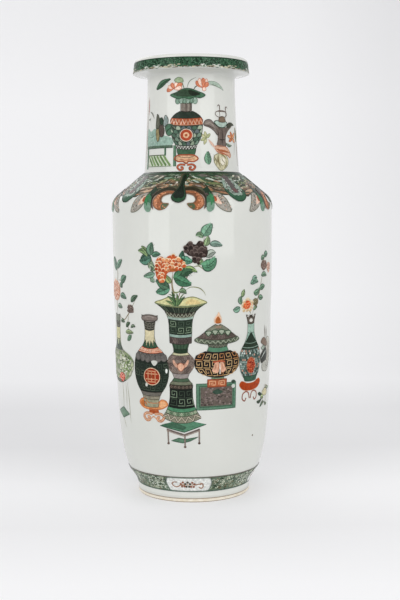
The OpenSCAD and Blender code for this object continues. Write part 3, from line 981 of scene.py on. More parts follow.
class Vessel:
    """A painted vessel about an upright line at x, from lists of (height, half width) and (height, sag)."""

    fine_line = 0.45

    def __init__(self, sheet, x, half_widths, sags):
        self.sheet = sheet
        self.x = x
        self.half_widths = half_widths
        self.sags = sags

    def spot(self, side, z):
        """The point at a height, from the left edge (-1) to the right edge (1); bands sag in the middle."""
        return (self.x + side * along(self.half_widths, z), z - along(self.sags, z) * (1 - side ** 2))

    def across(self, z, count=9):
        """Points along a band's edge, from left to right."""
        return [self.spot(2 * i / (count - 1) - 1, z) for i in range(count)]

    def band(self, low, high, colour, level=1):
        """A coloured band between two heights, with a dark outline."""
        rise = [between(low, high, i / 6) for i in range(7)]
        right = [self.spot(1, z) for z in rise]
        left = [self.spot(-1, z) for z in rise[::-1]]
        outline = self.across(low)[1:-1] + right + self.across(high)[-2:0:-1] + left
        self.sheet.fill(outline, colour, level)
        self.sheet.stroke(outline, self.fine_line, line_dark, level + 2, closed=True)

    def bands(self, items, level=1):
        """Several bands, each given as (lower height, upper height, colour)."""
        for low, high, colour in items:
            self.band(low, high, colour, level)

    def rule(self, z, width, colour, level=4):
        """A brush line across the vessel at a height."""
        self.sheet.stroke(self.across(z), width, colour, level)

    def pattern(self, low, high, columns, rows, unit, width, colours, level=4, closed=False):
        """Repeats a line, given in a cell one wide and one high, over a band in colours picked by chance."""
        for row in range(rows):
            for column in range(columns):
                line = [
                    self.spot(2 * (column + x) / columns - 1, between(low, high, (row + z) / rows))
                    for x, z in unit]
                self.sheet.stroke(line, width, chance.choice(colours), level, closed)

    def scales(self, low, high, columns, rows, colours, edge, level=2):
        """Rows of overlapping round scales in colours picked by chance, from the top row down."""
        tall = (high - low) / rows
        for row in range(rows):
            for column in range(columns + row % 2):
                middle = column + (0.5 if row % 2 == 0 else 0.0)
                base = high - tall * (row + 1)
                arch = []
                for x, z in ((-0.5, 0), (-0.46, 0.5), (-0.25, 0.95), (0, 1.1), (0.25, 0.95), (0.46, 0.5),
                             (0.5, 0)):
                    side = min(1, max(-1, 2 * (middle + x) / columns - 1))
                    arch.append(self.spot(side, min(high, base + z * tall)))
                self.sheet.fill(arch, chance.choice(colours), level + 2 * (row % 2) + column % 2)
                self.sheet.stroke(arch, self.fine_line, edge, level + 5)

    def teeth(self, low, high, count, colour, level=4, edge=None):
        """A row of pointed leaves that stand on the lower line of a band."""
        for i in range(count):
            start, end = 2 * i / count - 1, 2 * (i + 1) / count - 1
            tooth = [self.spot(start, low), self.spot(end, low), self.spot((start + end) / 2, high)]
            if colour:
                self.sheet.fill(tooth, colour, level)
            if edge:
                self.sheet.stroke(tooth, 0.5, edge, level + 2, closed=True)


# Lines that patterns repeat, each in a cell one wide and one high
fret_unit = ((0.08, 0.1), (0.92, 0.1), (0.92, 0.9), (0.28, 0.9), (0.28, 0.42), (0.62, 0.42), (0.62, 0.62))
zigzag_unit = ((0, 0), (0.5, 1), (1, 0))
cross_unit = ((0, 0), (1, 1), (1, 0), (0, 1))
ring_unit = ((0.2, 0.5), (0.5, 0.85), (0.8, 0.5), (0.5, 0.15))
post_unit = ((0.5, 0), (0.5, 1))


leaf_fat = 0.85
leaf_vein = (38, 62, 46)
vein_w = 0.32


def leaves(sheet, items, level=2):
    """Leaves, each given as (width, colour, points along its middle)."""
    for i, (width, colour, points) in enumerate(items):
        own = level + i % 2
        blade(sheet, points, width, colour, own, leaf_fat, leaf_vein, 0.5, leaf_vein)
        along_x = points[-1][0] - points[0][0]
        along_z = points[-1][1] - points[0][1]
        aside = 0.2 * width / math.hypot(along_x, along_z)
        pale = tuple(min(255, round(1.2 * part) + 6) for part in colour)
        blade(
            sheet, [(x - aside * along_z, z + aside * along_x) for x, z in points], width * 0.36, pale,
            own + 1, leaf_fat)
        # Side veins
        for share in (0.3, 0.5, 0.7):
            start = (points[0][0] + along_x * share, points[0][1] + along_z * share)
            for turn in (-1, 1):
                reach = turn * 0.36 * width / math.hypot(along_x, along_z)
                tip = (
                    start[0] - reach * along_z + 0.14 * along_x,
                    start[1] + reach * along_x + 0.14 * along_z)
                sheet.stroke([start, tip], vein_w, leaf_vein, own + 3, thin_ends=True)


foot_hook = ((0.1, 0.9), (0.7, 0.95), (0.98, 0.55), (0.72, 0.1), (0.4, 0.2), (0.42, 0.5), (0.62, 0.5))


def scroll_feet(sheet, x, low, high, half, colour, edge, level=2):
    """Two scrolled feet of a wooden stand."""
    rise = high - low
    width = 0.34 * rise
    for side in (-1, 1):
        hook = [(x + side * half * share, low + rise * height) for share, height in foot_hook]
        sheet.stroke(smooth(hook), width, edge, level)
        sheet.stroke(smooth(hook), width * 0.55, colour, level + 1)


petal_scatter = 0.42


def ruffled(sheet, outline, petal, colours, pale, level):
    """A full flower: an outline filled with small overlapping petals that have pale upper edges."""
    sheet.fill(outline, colours[0], level)
    for i, (x, z) in enumerate(grid_inside(outline, petal)):
        x += chance.uniform(-petal_scatter, petal_scatter) * petal
        z += chance.uniform(-petal_scatter, petal_scatter) * petal
        size = petal * chance.uniform(0.5, 0.78)
        own = level + 1 + 2 * (i % 4)
        sheet.fill(disc(x, z, size, size * 0.9, 10), pale, own)
        sheet.fill(disc(x, z - 0.26 * size, size * 0.82, size * 0.7, 9), chance.choice(colours), own + 1)


neck_scene_r = 47 * mm
front_and_back = 2
neck_vase_bearing = -7
vase = Sheet()
neck_vase = Vessel(vase, 0.5, [
    (350, 7.6), (354, 9), (358, 9.6), (361, 10.6), (366, 13.6), (372, 15.6), (379, 16.6), (386, 16.8),
    (388, 15.8), (391, 13), (393, 10), (394.4, 7), (395, 5.6), (403, 5.6)], [(350, 1.6), (403, 0.8)])
neck_vase.band(350, 358, (64, 96, 72))
neck_vase.band(358, 361.4, (196, 198, 190))
neck_vase.pattern(358.3, 361, 7, 1, zigzag_unit, 0.8, (line_dark,), 4)
neck_vase.band(361.4, 381.4, (64, 80, 68))
neck_vase.scales(
    362, 381, 6, 5, ((112, 136, 118), (100, 112, 112), (138, 154, 132), (76, 104, 86), (164, 178, 156)),
    (40, 50, 42))
neck_vase.band(381.4, 388.4, (168, 88, 56))
neck_vase.pattern(382.4, 387.4, 9, 1, zigzag_unit, 0.8, ((226, 190, 166), (208, 160, 132)), 4)
neck_vase.rule(382, 0.6, (206, 150, 120))
neck_vase.band(388.4, 394.6, (42, 54, 44))
neck_vase.band(395, 403, (122, 114, 104))
neck_vase.pattern(395.4, 402.6, 5, 1, post_unit, 0.8, (aubergine, (150, 142, 132)), 4)
# Medallion: rings of cream and iron red
medal_z = 370.8
for radius, colour in (
    (7.0, (216, 204, 184)), (5.9, (172, 74, 46)), (3.1, (222, 178, 140)), (1.3, iron_red),
):
    vase.fill(disc(neck_vase.x, medal_z, radius, radius * 0.96, 20), colour, round(16 - radius))
vase.stroke(disc(neck_vase.x, medal_z, 7.0, 6.7, 20), 0.5, line_dark, 12, closed=True)
# Lotus leaf for a mouth: pale lobed underside, dark upper side
for i in range(6):
    lobe = disc(-8.4 + i * 3.6, 405.6 - (i in (0, 5)) * 0.6, 2.5, 3.4, 10)
    vase.fill(lobe, (152, 176, 160) if i % 2 else (126, 154, 136), 2 + i % 2)
    vase.stroke(lobe, 0.5, (74, 100, 80), 5, closed=True)
shape(vase, [
    (-16.5, 410.8), (-10, 413.4), (-3, 416.6), (4, 417), (12, 414.4), (20.4, 410.8), (15, 407.6),
    (9, 408.6), (4, 406.4), (-2, 408), (-8, 407)], (70, 108, 82), 6, (38, 60, 44), 0.6)
shape(vase, [(-13, 411.4), (-4, 415.4), (5, 415.6), (14, 412.2), (8, 409.4), (-4, 409)], (52, 72, 54), 8)
shape(vase, [(3, 415), (9, 414.2), (15, 411.6), (10, 409.6), (5, 410.4)], (34, 44, 32), 9)
# Stand: a cloud-shaped seat on scrolled feet
shape(vase, [
    (-11.4, 347.6), (-8, 350.8), (0, 351.2), (8, 350.8), (12, 347.6), (8, 344.6), (3, 344.8),
    (0.4, 342.8), (-3, 344.8), (-7.6, 344.8)], (214, 174, 138), 2, (160, 82, 54), 1.3)
lines(vase, [(0.9, (186, 110, 78), [(-8, 347.4), (0, 346), (8.6, 347.4)])], 5)
scroll_feet(vase, 0.4, 335.8, 342, 8.8, (184, 98, 68), (132, 60, 40))
# Lotus flowers, pod, leaf and reeds
lines(vase, [
    (0.9, (96, 116, 84), [(-1, 416), (-2.6, 420), (-4, 425)]),
    (0.8, grey_green, [(1, 416), (4, 424), (11, 428)]),
    (0.9, dark_green, [(8, 415), (10, 418.4), (13, 420)]),
    (1.1, (140, 152, 138), [(22, 421), (30, 420.6), (36, 419), (42, 416.6)]),
    (0.9, (164, 182, 168), [(23, 423), (29, 423), (35, 421.4)]),
    (0.8, light_green, [(-6, 428), (-3, 426), (-2, 423)])], 2)
leaves(vase, [(6, (62, 92, 70), [(-35, 417.6), (-29.6, 421.4), (-23.6, 424.6), (-16, 426.8)])], 2)
blade(
    vase, [(21.6, 423.4), (30, 422.8), (37, 420.2), (42.8, 416.2)], 3.4, (178, 196, 180), 1, 0.85,
    (128, 146, 130), 0.5)
shape(
    vase, [(-12, 425.4), (-8, 428.2), (-3.4, 427), (-3, 423.8), (-8, 423)], (160, 180, 144), 4,
    (92, 116, 86))
left_lotus = (
    [(-13, 417), (-18, 416.4), (-20.4, 414.6)], [(-13, 417.4), (-17, 419), (-18.6, 420.4)],
    [(-12, 417), (-14, 420.6), (-14, 423)], [(-11, 417.6), (-10, 421), (-8.4, 423)],
    [(-11, 417), (-6.4, 420.4), (-3.4, 421.6)], [(-12, 416.6), (-7, 417.6), (-4, 418.6)])
right_lotus = (
    [(17, 418), (13, 421.4), (11, 424.4)], [(17.4, 418), (15, 423), (14.4, 427)],
    [(18, 418), (18.4, 424), (18, 427.4)], [(18.6, 418), (21, 423), (22, 426.6)],
    [(18.8, 418), (22, 421), (23.6, 423)], [(17.4, 417.4), (19, 416.6), (21, 415.6)])
for petals, deep in ((left_lotus, (186, 92, 60)), (right_lotus, (190, 90, 56))):
    for i, line in enumerate(petals):
        blade(vase, line, 4.2, (244, 216, 198) if i % 2 else (214, 134, 100), 4 + i % 3, 1.1, deep, 0.45)
lay("neck_vase", vase, neck_scene_r, neck_vase_bearing, front_and_back)


# Neck table: a low green table with a cloth, books, a rock and a mat under it, left of the neck vase.
# Thin translucent enamels with dark brush lines, fired on over the glaze.
desk = Sheet()
shape(desk, [
    (-25, 361), (-8, 361), (12, 361.4), (12, 368), (4, 371), (-4, 372), (-10, 378.6), (-18, 376),
    (-25, 379)], (152, 180, 166), 0)
lines(desk, [
    (0.9, (120, 150, 136), [(-24, 371), (-16, 370), (-10, 372)]),
    (1.1, (164, 188, 176), [(-22, 366), (-12, 365), (-2, 366.4), (8, 364.4)])], 2)
desk.stroke([(-25, 360.2), (13, 360.2)], 2.2, (84, 106, 88), 3)
desk.stroke([(-25, 358.6), (13, 358.8)], 0.6, dark_green, 5)
for x, low, width in ((15, 340, 2.8), (4.4, 351, 1.8), (-22.5, 338, 2.4)):
    desk.fill(
        [(x - width / 2, low), (x + width / 2, low), (x + width / 2, 361), (x - width / 2, 361)],
        (88, 124, 98), 2)
    desk.stroke([(x + width / 2, low), (x + width / 2, 360)], 0.6, (52, 78, 58), 4)
desk.fill([(-20, 340.6), (12, 340.6), (4, 351.6), (-20, 351.6)], (204, 213, 192), 1)
mat_stripes = ((104, 136, 84), (128, 156, 102))
for i in range(6):
    desk.stroke([(-19.6 + 4.5 * i, 351), (-12 + 4.5 * i, 341)], 2.2, mat_stripes[i % 2], 3)
desk.stroke([(-20, 351.6), (4, 351.6)], 0.9, (84, 98, 70), 5)
desk.stroke([(-20, 340.4), (12, 340.4)], 0.6, (112, 132, 100), 5)
for points, colour in (
    ([(-8.6, 379), (-7.4, 392.6), (-4, 389), (-3.4, 380)], (96, 98, 86)),
    ([(-3, 388.4), (0.4, 388.6), (1.6, 383), (-2, 382)], (52, 72, 56)),
    ([(-4, 381), (1, 381.6), (3, 375), (1, 370), (-3, 371.4)], (86, 74, 68)),
    ([(-8.6, 377), (-4.6, 378.6), (-3, 371), (-5, 365.4), (-7.4, 368)], (144, 132, 94)),
    ([(2, 381), (2.4, 388), (4.4, 391.4), (7.4, 387), (6.4, 381)], (148, 162, 158)),
    ([(4, 380), (8, 382.4), (13, 381), (13.6, 374), (9, 370.6), (5.6, 373)], (74, 112, 88)),
):
    shape(desk, points, colour, 4, (58, 62, 52), 0.6)
lines(desk, [
    (1.4, (188, 132, 122), [(-24.4, 411), (-23.6, 402), (-24.2, 393)]),
    (1.5, (128, 130, 120), [(-20, 396), (-16, 394), (-12, 389)]),
    (1.2, (116, 120, 110), [(-24, 389), (-21, 388), (-19, 390)]),
    (1.1, dark_green, [(5, 373), (8, 377), (12, 379)]),
    (1.6, (54, 58, 48), [(10, 382), (13, 378), (16, 376.4)]),
    (1.4, (70, 74, 62), [(11, 372), (13.6, 368), (17, 364)]),
    (0.9, (196, 178, 172), [(-27, 337), (-26.6, 372), (-27, 408)]),
    (0.8, (168, 156, 152), [(-29, 345), (-28.6, 372), (-29, 400)])], 7)
neck_table_bearing = -39
lay("neck_table", desk, neck_scene_r, neck_table_bearing, front_and_back)


# Neck cup: an archaic libation cup on a stand with a folded cloth, right of the neck vase.
# Aubergine enamel inside dark lines, over an orange and iron-red cloth; fired on over the glaze.
cup = Sheet()
shape(cup, [
    (-16, 381), (-14, 385.6), (-8.6, 386.2), (-4, 381.8), (1, 378.6), (-0.6, 371), (-5, 375.4),
    (-10, 378.6)], (128, 118, 110), 2, (62, 54, 48), 0.7)
lines(cup, [
    (0.8, (168, 158, 148), [(-14, 382), (-9, 383), (-4, 378.6)]),
    (1.1, (72, 62, 56), [(-15, 381), (-10, 380), (-4, 377)])], 5)
cup.fill(smooth([
    (-1.6, 379), (11, 379.4), (14, 380.4), (21, 383.6), (22, 381.6), (14, 376), (10.4, 371), (9.4, 366),
    (9.6, 360), (-1.8, 360.6), (-0.8, 367), (-1, 373)], 3, True), (108, 96, 88), 3)
lines(cup, [
    (1.3, (118, 106, 98), [(1, 377), (1.6, 370), (0.6, 362)]),
    (0.9, (58, 50, 45), [(5, 378), (5.4, 370), (4.6, 361)]),
    (0.9, (126, 114, 106), [(8, 376), (7.6, 370), (7.4, 362)]),
    (1.0, (58, 50, 45), [(-1.4, 367.6), (4, 366.6), (9.6, 367.6)])], 6)
shape(cup, [(11.6, 380), (15, 384), (20.6, 384.6), (26, 382), (20, 381.2), (15, 378.6)], (66, 68, 54), 7)
shape(cup, [
    (-4.8, 383.8), (-1.6, 385.6), (3, 384.6), (9.6, 385), (12.6, 383.4), (10, 380.4), (5, 378.8),
    (-1, 380.2)], (172, 192, 180), 6, (54, 72, 58), 0.8)
lines(cup, [
    (1.2, (52, 58, 46), [(-4, 383.4), (-1.6, 380.6), (0.6, 379.8)]),
    (0.9, (176, 190, 180), [(2, 382), (5, 380.6), (9, 382)])], 8)
shape(cup, [(1.2, 384.6), (2.6, 389.4), (8, 389.6), (9.8, 384.8)], (124, 106, 88), 8, (84, 68, 54))
# Handle: two posts with turned tops and a rail, in an oval ring
handle_brown = (104, 88, 78)
cup.stroke(disc(4.9, 392.4, 7.9, 3.6, 18), 0.7, handle_brown, 3, closed=True)
lines(cup, [
    (1.0, handle_brown, [(2.4, 388), (2.6, 395), (2.4, 400.6), (0.4, 401), (-0.6, 398.8)]),
    (1.0, handle_brown, [(11, 388), (11.2, 394), (11, 399), (12.8, 399.8), (14, 397.8)]),
    (0.8, handle_brown, [(-2.4, 394.8), (5, 395), (12.4, 394.8)])], 4)
shape(cup, [
    (-5, 359.4), (0, 360.6), (9.4, 359.4), (13, 357), (16.4, 352), (14.6, 348.8), (11, 351.4), (3, 352.6),
    (-2, 354.4)], (214, 172, 146), 2, (188, 120, 86), 0.7)
lines(cup, [
    (2.4, (170, 100, 66), [(-3.6, 357.6), (1, 356), (8, 355.2), (14.6, 354)]),
    (1.0, iron_red, [(-2, 355), (6, 352.8), (13, 350.4)]),
    (2.6, (222, 186, 166), [(-11.4, 366.6), (-7.6, 362), (-3.4, 357.6)]),
    (0.7, (186, 120, 92), [(-10.4, 366), (-6.6, 361), (-3, 358.6)])], 5)
shape(cup, [
    (-5.4, 350.4), (0, 353), (7, 352.6), (11.4, 348), (11, 342), (6, 337.4), (1, 336), (-3.6, 340.4),
    (-6, 345)], (206, 200, 166), 1, (128, 124, 92), 0.6)
shape(
    cup, [(1.6, 348.6), (5, 349.4), (7.6, 346.4), (6.4, 342.6), (3, 341.4), (1.4, 344.6)],
    (236, 230, 212), 2)
lines(cup, [
    (1.8, (134, 122, 84), [(-1, 352), (-1.4, 346), (1, 339)]),
    (1.5, (142, 130, 92), [(1.6, 352), (5.4, 351), (9.4, 347)]),
    (1.2, (148, 140, 100), [(-5, 348.6), (-3, 345), (-3.4, 341)]),
    (1.2, (140, 132, 94), [(9.4, 345), (8.6, 341.6), (5, 338)]),
    (0.9, (150, 146, 112), [(3, 351), (4, 346), (8, 343)]),
    (0.8, (150, 146, 112), [(-4, 346), (0, 343.6), (5, 339.4)]),
    (0.8, (118, 116, 92), [(-6, 352), (-5, 347), (-6.4, 344)])], 4)
leaves(cup, [
    (7, (98, 136, 110), [(-11.4, 341.8), (-12.6, 348), (-12, 354.8)]),
    (2.6, (120, 136, 118), [(10, 363.4), (14, 361), (19, 361.4)])], 2)
for i, tip in enumerate(((12.6, 371), (18, 375.4), (27, 374.6), (14.6, 365.4), (26.6, 364.6))):
    blade(
        cup, [(21.6, 368.8), tip], 3.0, ((226, 164, 116), (204, 122, 76))[i % 2], 3, 1.0, (160, 88, 54),
        0.6)
for i, tip in enumerate(((-20, 372), (-19.4, 365.6), (-15, 374.6), (-9.4, 372.4), (-16, 361.6))):
    blade(
        cup, [(-13.6, 368), tip], 2.8, ((196, 194, 152), (178, 184, 138))[i % 2], 1, 1.0, (136, 142, 102),
        0.5)
lines(cup, [
    (1.4, (140, 116, 104), [(32, 341), (32.6, 356), (32, 378)]),
    (0.9, (160, 156, 148), [(24, 352), (26, 364), (25, 374)])], 2)
leaves(cup, [(4.4, (112, 104, 66), [(30.6, 366), (31.4, 373), (30, 380)])], 2)
neck_cup_bearing = 34.7
lay("neck_cup", cup, neck_scene_r, neck_cup_bearing, front_and_back)


# Beaker: a tall gu-shaped beaker with peonies on a small table, the middle of the front scene.
# Black-green fret panels with aubergine and green bands, inside dark outlines; fired on over the glaze.
fret_line = (128, 148, 122)
beaker_sheet = Sheet()
beaker = Vessel(beaker_sheet, -0.6, [
    (91, 20.4), (94, 18.6), (98, 16), (102, 14.2), (106, 12.8), (112, 11.8), (120, 11.6), (124, 12),
    (126, 11.4), (128, 9.4), (131.4, 7), (133, 7.4), (136, 8.6), (138, 10.6), (142, 13), (147, 14),
    (151, 13), (154.6, 9.6), (156, 8), (157.4, 7), (161, 7.2), (166, 8.6), (166.2, 11), (172.6, 11.2),
    (176, 11.4), (184, 11.6), (190, 12.4), (194, 13.8), (198, 16), (201, 19), (203.4, 22.6), (206, 26.6)],
    [(91, 5.4), (98, 3.6), (104, 1.6), (120, 1.0), (190, 1.4), (196, 2.2), (206, 3.4)])
shape(beaker_sheet, [
    (-27, 205.8), (-19, 208.8), (-12, 211.4), (-5, 210.4), (0, 209), (5, 210.6), (12, 211.8), (19, 209.6),
    (25.8, 206), (16, 203), (0, 201.6), (-16, 203)], (210, 206, 154), 0, (126, 128, 84), 0.9)
shape(beaker_sheet, [(5, 205), (9, 209.6), (16, 208.6), (19, 205)], (216, 196, 140), 1)
beaker.bands((
    (91, 96.4, (136, 136, 116)), (96.4, 99.6, (118, 140, 112)), (99.6, 102.6, (78, 134, 100)),
    (102.6, 121, (16, 25, 18)), (121, 125, (64, 56, 48)), (125, 128.4, (112, 116, 96)),
    (128.4, 131.6, (70, 92, 70)), (131.6, 136.4, (150, 142, 138)), (136.4, 154.8, (112, 98, 90)),
    (154.8, 157, (190, 188, 152)), (157, 161, (32, 54, 36)), (161, 166, (58, 80, 60)),
    (166.2, 172.6, (84, 74, 70)), (172.6, 175.6, (142, 166, 154)), (175.6, 190, (34, 48, 36)),
    (190, 193, (154, 174, 162)), (193, 198, (58, 54, 46)), (198, 206, (38, 48, 38))))
beaker.pattern(91.8, 95.8, 5, 1, zigzag_unit, 1.9, ((66, 58, 46), (88, 70, 56)), 4)
beaker.pattern(91.8, 95.8, 5, 1, zigzag_unit, 0.9, ((196, 188, 168),), 6)
beaker.pattern(96.6, 99.4, 9, 1, ring_unit, 0.8, ((72, 96, 72), (178, 186, 160)), 4, True)
beaker.pattern(104, 119.6, 3, 2, fret_unit, 0.6, (fret_line, (62, 78, 62)), 4)
beaker.pattern(121.4, 124.6, 6, 1, ring_unit, 0.6, ((122, 106, 92),), 4, True)
beaker.pattern(137, 154, 8, 5, cross_unit, 0.5, ((150, 132, 120), (84, 72, 68), (140, 126, 116)), 4)
beaker.pattern(161.4, 165.6, 5, 1, post_unit, 0.6, (dark_green,), 4)
beaker.pattern(166.6, 172.2, 8, 1, cross_unit, 0.5, ((116, 100, 94), (66, 56, 54)), 4)
beaker.pattern(176.6, 189, 3, 2, fret_unit, 0.6, (fret_line, (70, 88, 72)), 4)
beaker.teeth(193.4, 197.6, 8, None, 4, (172, 176, 154))
beaker.pattern(198.4, 204.6, 16, 1, post_unit, 0.5, ((62, 78, 62), (92, 104, 84), (24, 34, 26)), 4)
beaker.rule(205.6, 1.0, (118, 130, 96), 5)
# Mask on the bulb: two horned lobes over a muzzle
horn = ((0.6, 142), (2.8, 145.2), (4.8, 146), (6.8, 149.6), (8.2, 148.4), (7, 144.4), (4.2, 141.8))
for side in (-1, 1):
    shape(beaker_sheet, [(beaker.x + side * x, z) for x, z in horn], (206, 160, 136), 6)
    beaker_sheet.fill(disc(beaker.x + side * 3.2, 145.2, 0.8, 0.8, 7), (132, 78, 58), 9)
shape(
    beaker_sheet, [(-4, 143.6), (-0.6, 146.4), (3, 143.6), (1, 139), (-2, 139)], (224, 176, 148), 7,
    (176, 108, 82), 0.6)
# Small table under the beaker
beaker_sheet.fill([(-24.4, 82.4), (2, 76.6), (25, 84.6), (0, 90.4)], (84, 132, 104), 0)
shape(beaker_sheet, [(-23.4, 82.6), (-8, 80.4), (0, 79), (4, 82), (-10, 86)], (62, 98, 76), 1)
beaker_sheet.stroke([(-24.4, 82.4), (2, 76.6), (25, 84.6)], 0.8, (50, 78, 60), 3)
beaker_sheet.stroke([(-17, 79), (2, 73.8), (18.4, 79.6)], 1.9, (112, 98, 92), 2)
beaker_sheet.stroke([(-17, 77.4), (2, 72.2), (18.4, 78)], 0.6, (154, 132, 116), 3)
for x, low, high in ((-15.6, 64.6, 78.6), (17.8, 65.2, 79), (2.6, 61.4, 73.4)):
    beaker_sheet.stroke([(x, high), (x, low)], 1.7, (136, 124, 116), 2)
    beaker_sheet.fill(disc(x, low, 1.5, 1.2, 8), (104, 86, 78), 3)
low_shelf = [(-12.4, 67.4), (-4, 70.6), (3, 69.4), (17, 71.8), (8, 67.4), (0, 65.4)]
beaker_sheet.fill(low_shelf, (88, 124, 100), 0)
beaker_sheet.stroke(low_shelf, 0.6, (52, 80, 62), 2, closed=True)
beaker_bearing = -8.2
lay("beaker", beaker_sheet, body_r, beaker_bearing, front_and_back)


# Peony spray: an orange peony and an aubergine one with their leaves, standing in the beaker.
# Washed enamels, fired on over the glaze; dark veins and outlines are drawn with a fine brush.
stem_brown = (134, 118, 88)
peonies = Sheet()
lines(peonies, [
    (1.6, stem_brown, [(-6, 205), (-7, 216), (-8.4, 224), (-7.6, 236)]),
    (1.2, stem_brown, [(-4, 206), (2, 222), (12, 242)]),
    (1.1, stem_brown, [(-24, 232), (-28, 242), (-31, 252)]),
    (1.1, stem_brown, [(20, 246), (22, 258), (23.6, 271)]),
    (1.0, (136, 138, 98), [(4, 217.6), (10, 221.4), (18, 220.6), (22.6, 217), (24.8, 213)]),
    (1.3, (98, 116, 78), [(-12, 214.6), (-7, 212), (-4, 206)]),
    (1.3, (98, 116, 78), [(4, 216), (0, 211), (-3, 205)]),
    (1.0, (136, 138, 98), [(12, 241), (18, 242), (23, 238)]),
    (1.0, stem_brown, [(-28, 240), (-29, 233), (-29, 228)]),
    (1.4, (120, 134, 86), [(-9, 219), (-5, 216), (0, 217.6)]),
    (1.2, (98, 116, 78), [(-10, 208), (-6, 213), (-8.4, 218)])], 2)
leaves(peonies, [
    (10.5, (108, 146, 122), [(23.4, 271), (26, 277), (31.6, 283)]),
    (5, (104, 128, 100), [(22.4, 270), (19, 273), (15.4, 272)]),
    (5.8, (124, 144, 106), [(24.6, 261.6), (26.4, 266), (27.6, 271)]),
    (6, (112, 136, 124), [(29, 263), (35, 263.6), (41.6, 261.4)]),
    (7, (150, 158, 148), [(25.6, 250.6), (30, 254.6), (34.6, 255)]),
    (11.5, (84, 132, 102), [(21, 242), (29, 243.4), (35.4, 249.4)]),
    (8, (72, 116, 88), [(21.6, 241), (28, 240.6), (35, 245)]),
    (5.6, (52, 86, 68), [(3.4, 245), (1.6, 251), (2.6, 257)]),
    (8, (84, 136, 112), [(1, 250), (6, 247.6), (12, 246)]),
    (5, (124, 148, 96), [(4, 239.6), (10, 239.6), (16.4, 236)]),
    (10, (58, 98, 70), [(-6, 228.6), (0, 234), (6, 239.6)]),
    (8.4, (52, 84, 60), [(2, 232), (7, 237), (12, 236)]),
    (10, (64, 110, 82), [(-6, 231), (2, 227), (10.6, 223.4)]),
    (8.4, (66, 96, 74), [(-11, 221.4), (-18, 223.6), (-25, 228.6)]),
    (8.6, (78, 122, 98), [(-11, 221), (-18, 217.6), (-25.4, 216.4)]),
    (5.6, (132, 152, 98), [(-9.6, 225.4), (-12.6, 229), (-15, 233.4)]),
    (6, (112, 142, 122), [(-26.6, 234.6), (-32, 232.6), (-39.4, 231.6)]),
    (9, (70, 108, 92), [(-30.6, 251), (-37, 247), (-44.4, 247)]),
    (5.4, (60, 88, 76), [(-31, 251), (-37, 251.6), (-43, 249)]),
    (5, (112, 134, 92), [(-34, 252), (-40, 256.4), (-46, 257)]),
    (4.6, (122, 142, 98), [(-34.6, 253), (-38, 258), (-41.6, 261.4)]),
    (8.6, (88, 118, 98), [(-30, 252.6), (-31.6, 258), (-29, 265)]),
    (5.4, (74, 108, 88), [(-29, 251.6), (-25, 253.6), (-20, 253.4)]),
    (6, (132, 150, 122), [(-28.4, 242), (-31.4, 244), (-33, 240)]),
    (4.6, (96, 116, 92), [(-28, 243), (-28.6, 239), (-31, 237)]),
    (4.4, (128, 152, 130), [(-28, 230), (-29.4, 228), (-27, 226)]),
    (2.6, (92, 122, 76), [(-5, 203), (-8, 209), (-13, 212.6)]),
    (2.2, (74, 104, 64), [(-5, 203), (-6.6, 210), (-8.6, 217)]),
    (2.4, (104, 132, 84), [(-4, 203), (-3, 209), (-3.6, 215)]),
    (2.4, (80, 110, 68), [(-3, 203), (0, 208), (4, 212)]),
    (2.2, (120, 142, 92), [(-6, 203), (-10, 206), (-15, 208)]),
    (4.6, (104, 128, 98), [(-1, 217), (2.6, 218), (5.6, 215)]),
    (4.2, (122, 146, 104), [(17, 243.4), (20.4, 246), (20.6, 249)])], 3)
orange_bloom = smooth([
    (-25.4, 245), (-23.4, 249.4), (-19.6, 251.4), (-15, 249.6), (-10.6, 252.4), (-4, 251.6), (1.4, 248.6),
    (5, 244.4), (2.4, 240.4), (-4.4, 236.8), (-11, 236.2), (-13.6, 234), (-14.6, 229.6), (-18, 227.2),
    (-22.4, 228), (-25, 233.4), (-24.6, 239.6)], 3, True)
ruffled(
    peonies, orange_bloom, 3.3, ((190, 88, 46), (206, 112, 66), (166, 68, 32), (218, 146, 98)),
    (236, 210, 174), 8)
shape(peonies, [(-13, 238.6), (-8, 239.8), (-3.6, 238.6), (-6, 236.8), (-11, 236.6)], (166, 92, 46), 16)
aubergine_bloom = smooth([
    (5, 257.4), (5.6, 262.4), (8.6, 265.4), (12, 263.8), (15.4, 263.2), (18, 266.4), (21.4, 266),
    (22.6, 262.6), (25.8, 259.4), (27, 255), (25, 250.6), (20.6, 250), (18.4, 246), (14, 244.8),
    (11.4, 247.4), (12, 251), (7.4, 252.8)], 3, True)
ruffled(
    peonies, aubergine_bloom, 3.4, ((50, 39, 35), (62, 50, 46), (40, 30, 28), (74, 61, 57)),
    (108, 94, 88), 8)
lay("peony_spray", peonies, body_r, beaker_bearing, front_and_back)


# Fret bottle: a black-green bottle with a red medallion, on an orange stand, left of the beaker.
# A yellow neck with a fret collar; enamels outlined in dark and fired on over the glaze.
bottle = Sheet()
fret_bottle = Vessel(bottle, -1.2, [
    (101, 8.4), (108, 9.4), (112, 10.6), (115.6, 12.6), (119, 15.4), (123, 17.8), (128, 19.6),
    (134, 20.8), (141, 21), (147, 20.2), (152, 18.4), (156, 15.4), (159, 12.4), (162, 9), (166, 6.8),
    (172, 5.6), (178, 5.6), (182, 6), (187, 7), (190, 8.6), (193, 9.8)],
    [(101, 0.8), (135, 1.6), (160, 2.0), (193, 1.0)])
shape(bottle, [
    (-16.6, 104), (-14, 108), (-9, 109), (-5, 105), (6, 105), (11, 108.6), (16, 107.4), (17.6, 103.4),
    (12, 99.6), (4, 98), (-6, 98), (-13, 100)], (218, 146, 92), 0, (186, 114, 72), 0.8)
shape(bottle, [(-15, 104.4), (-12, 107), (-7, 104), (-8, 100.4), (-13, 101)], (188, 108, 54), 1)
shape(bottle, [(8.6, 104.4), (12, 107), (15.8, 105), (14.6, 102), (10, 100.6)], (232, 176, 128), 1)
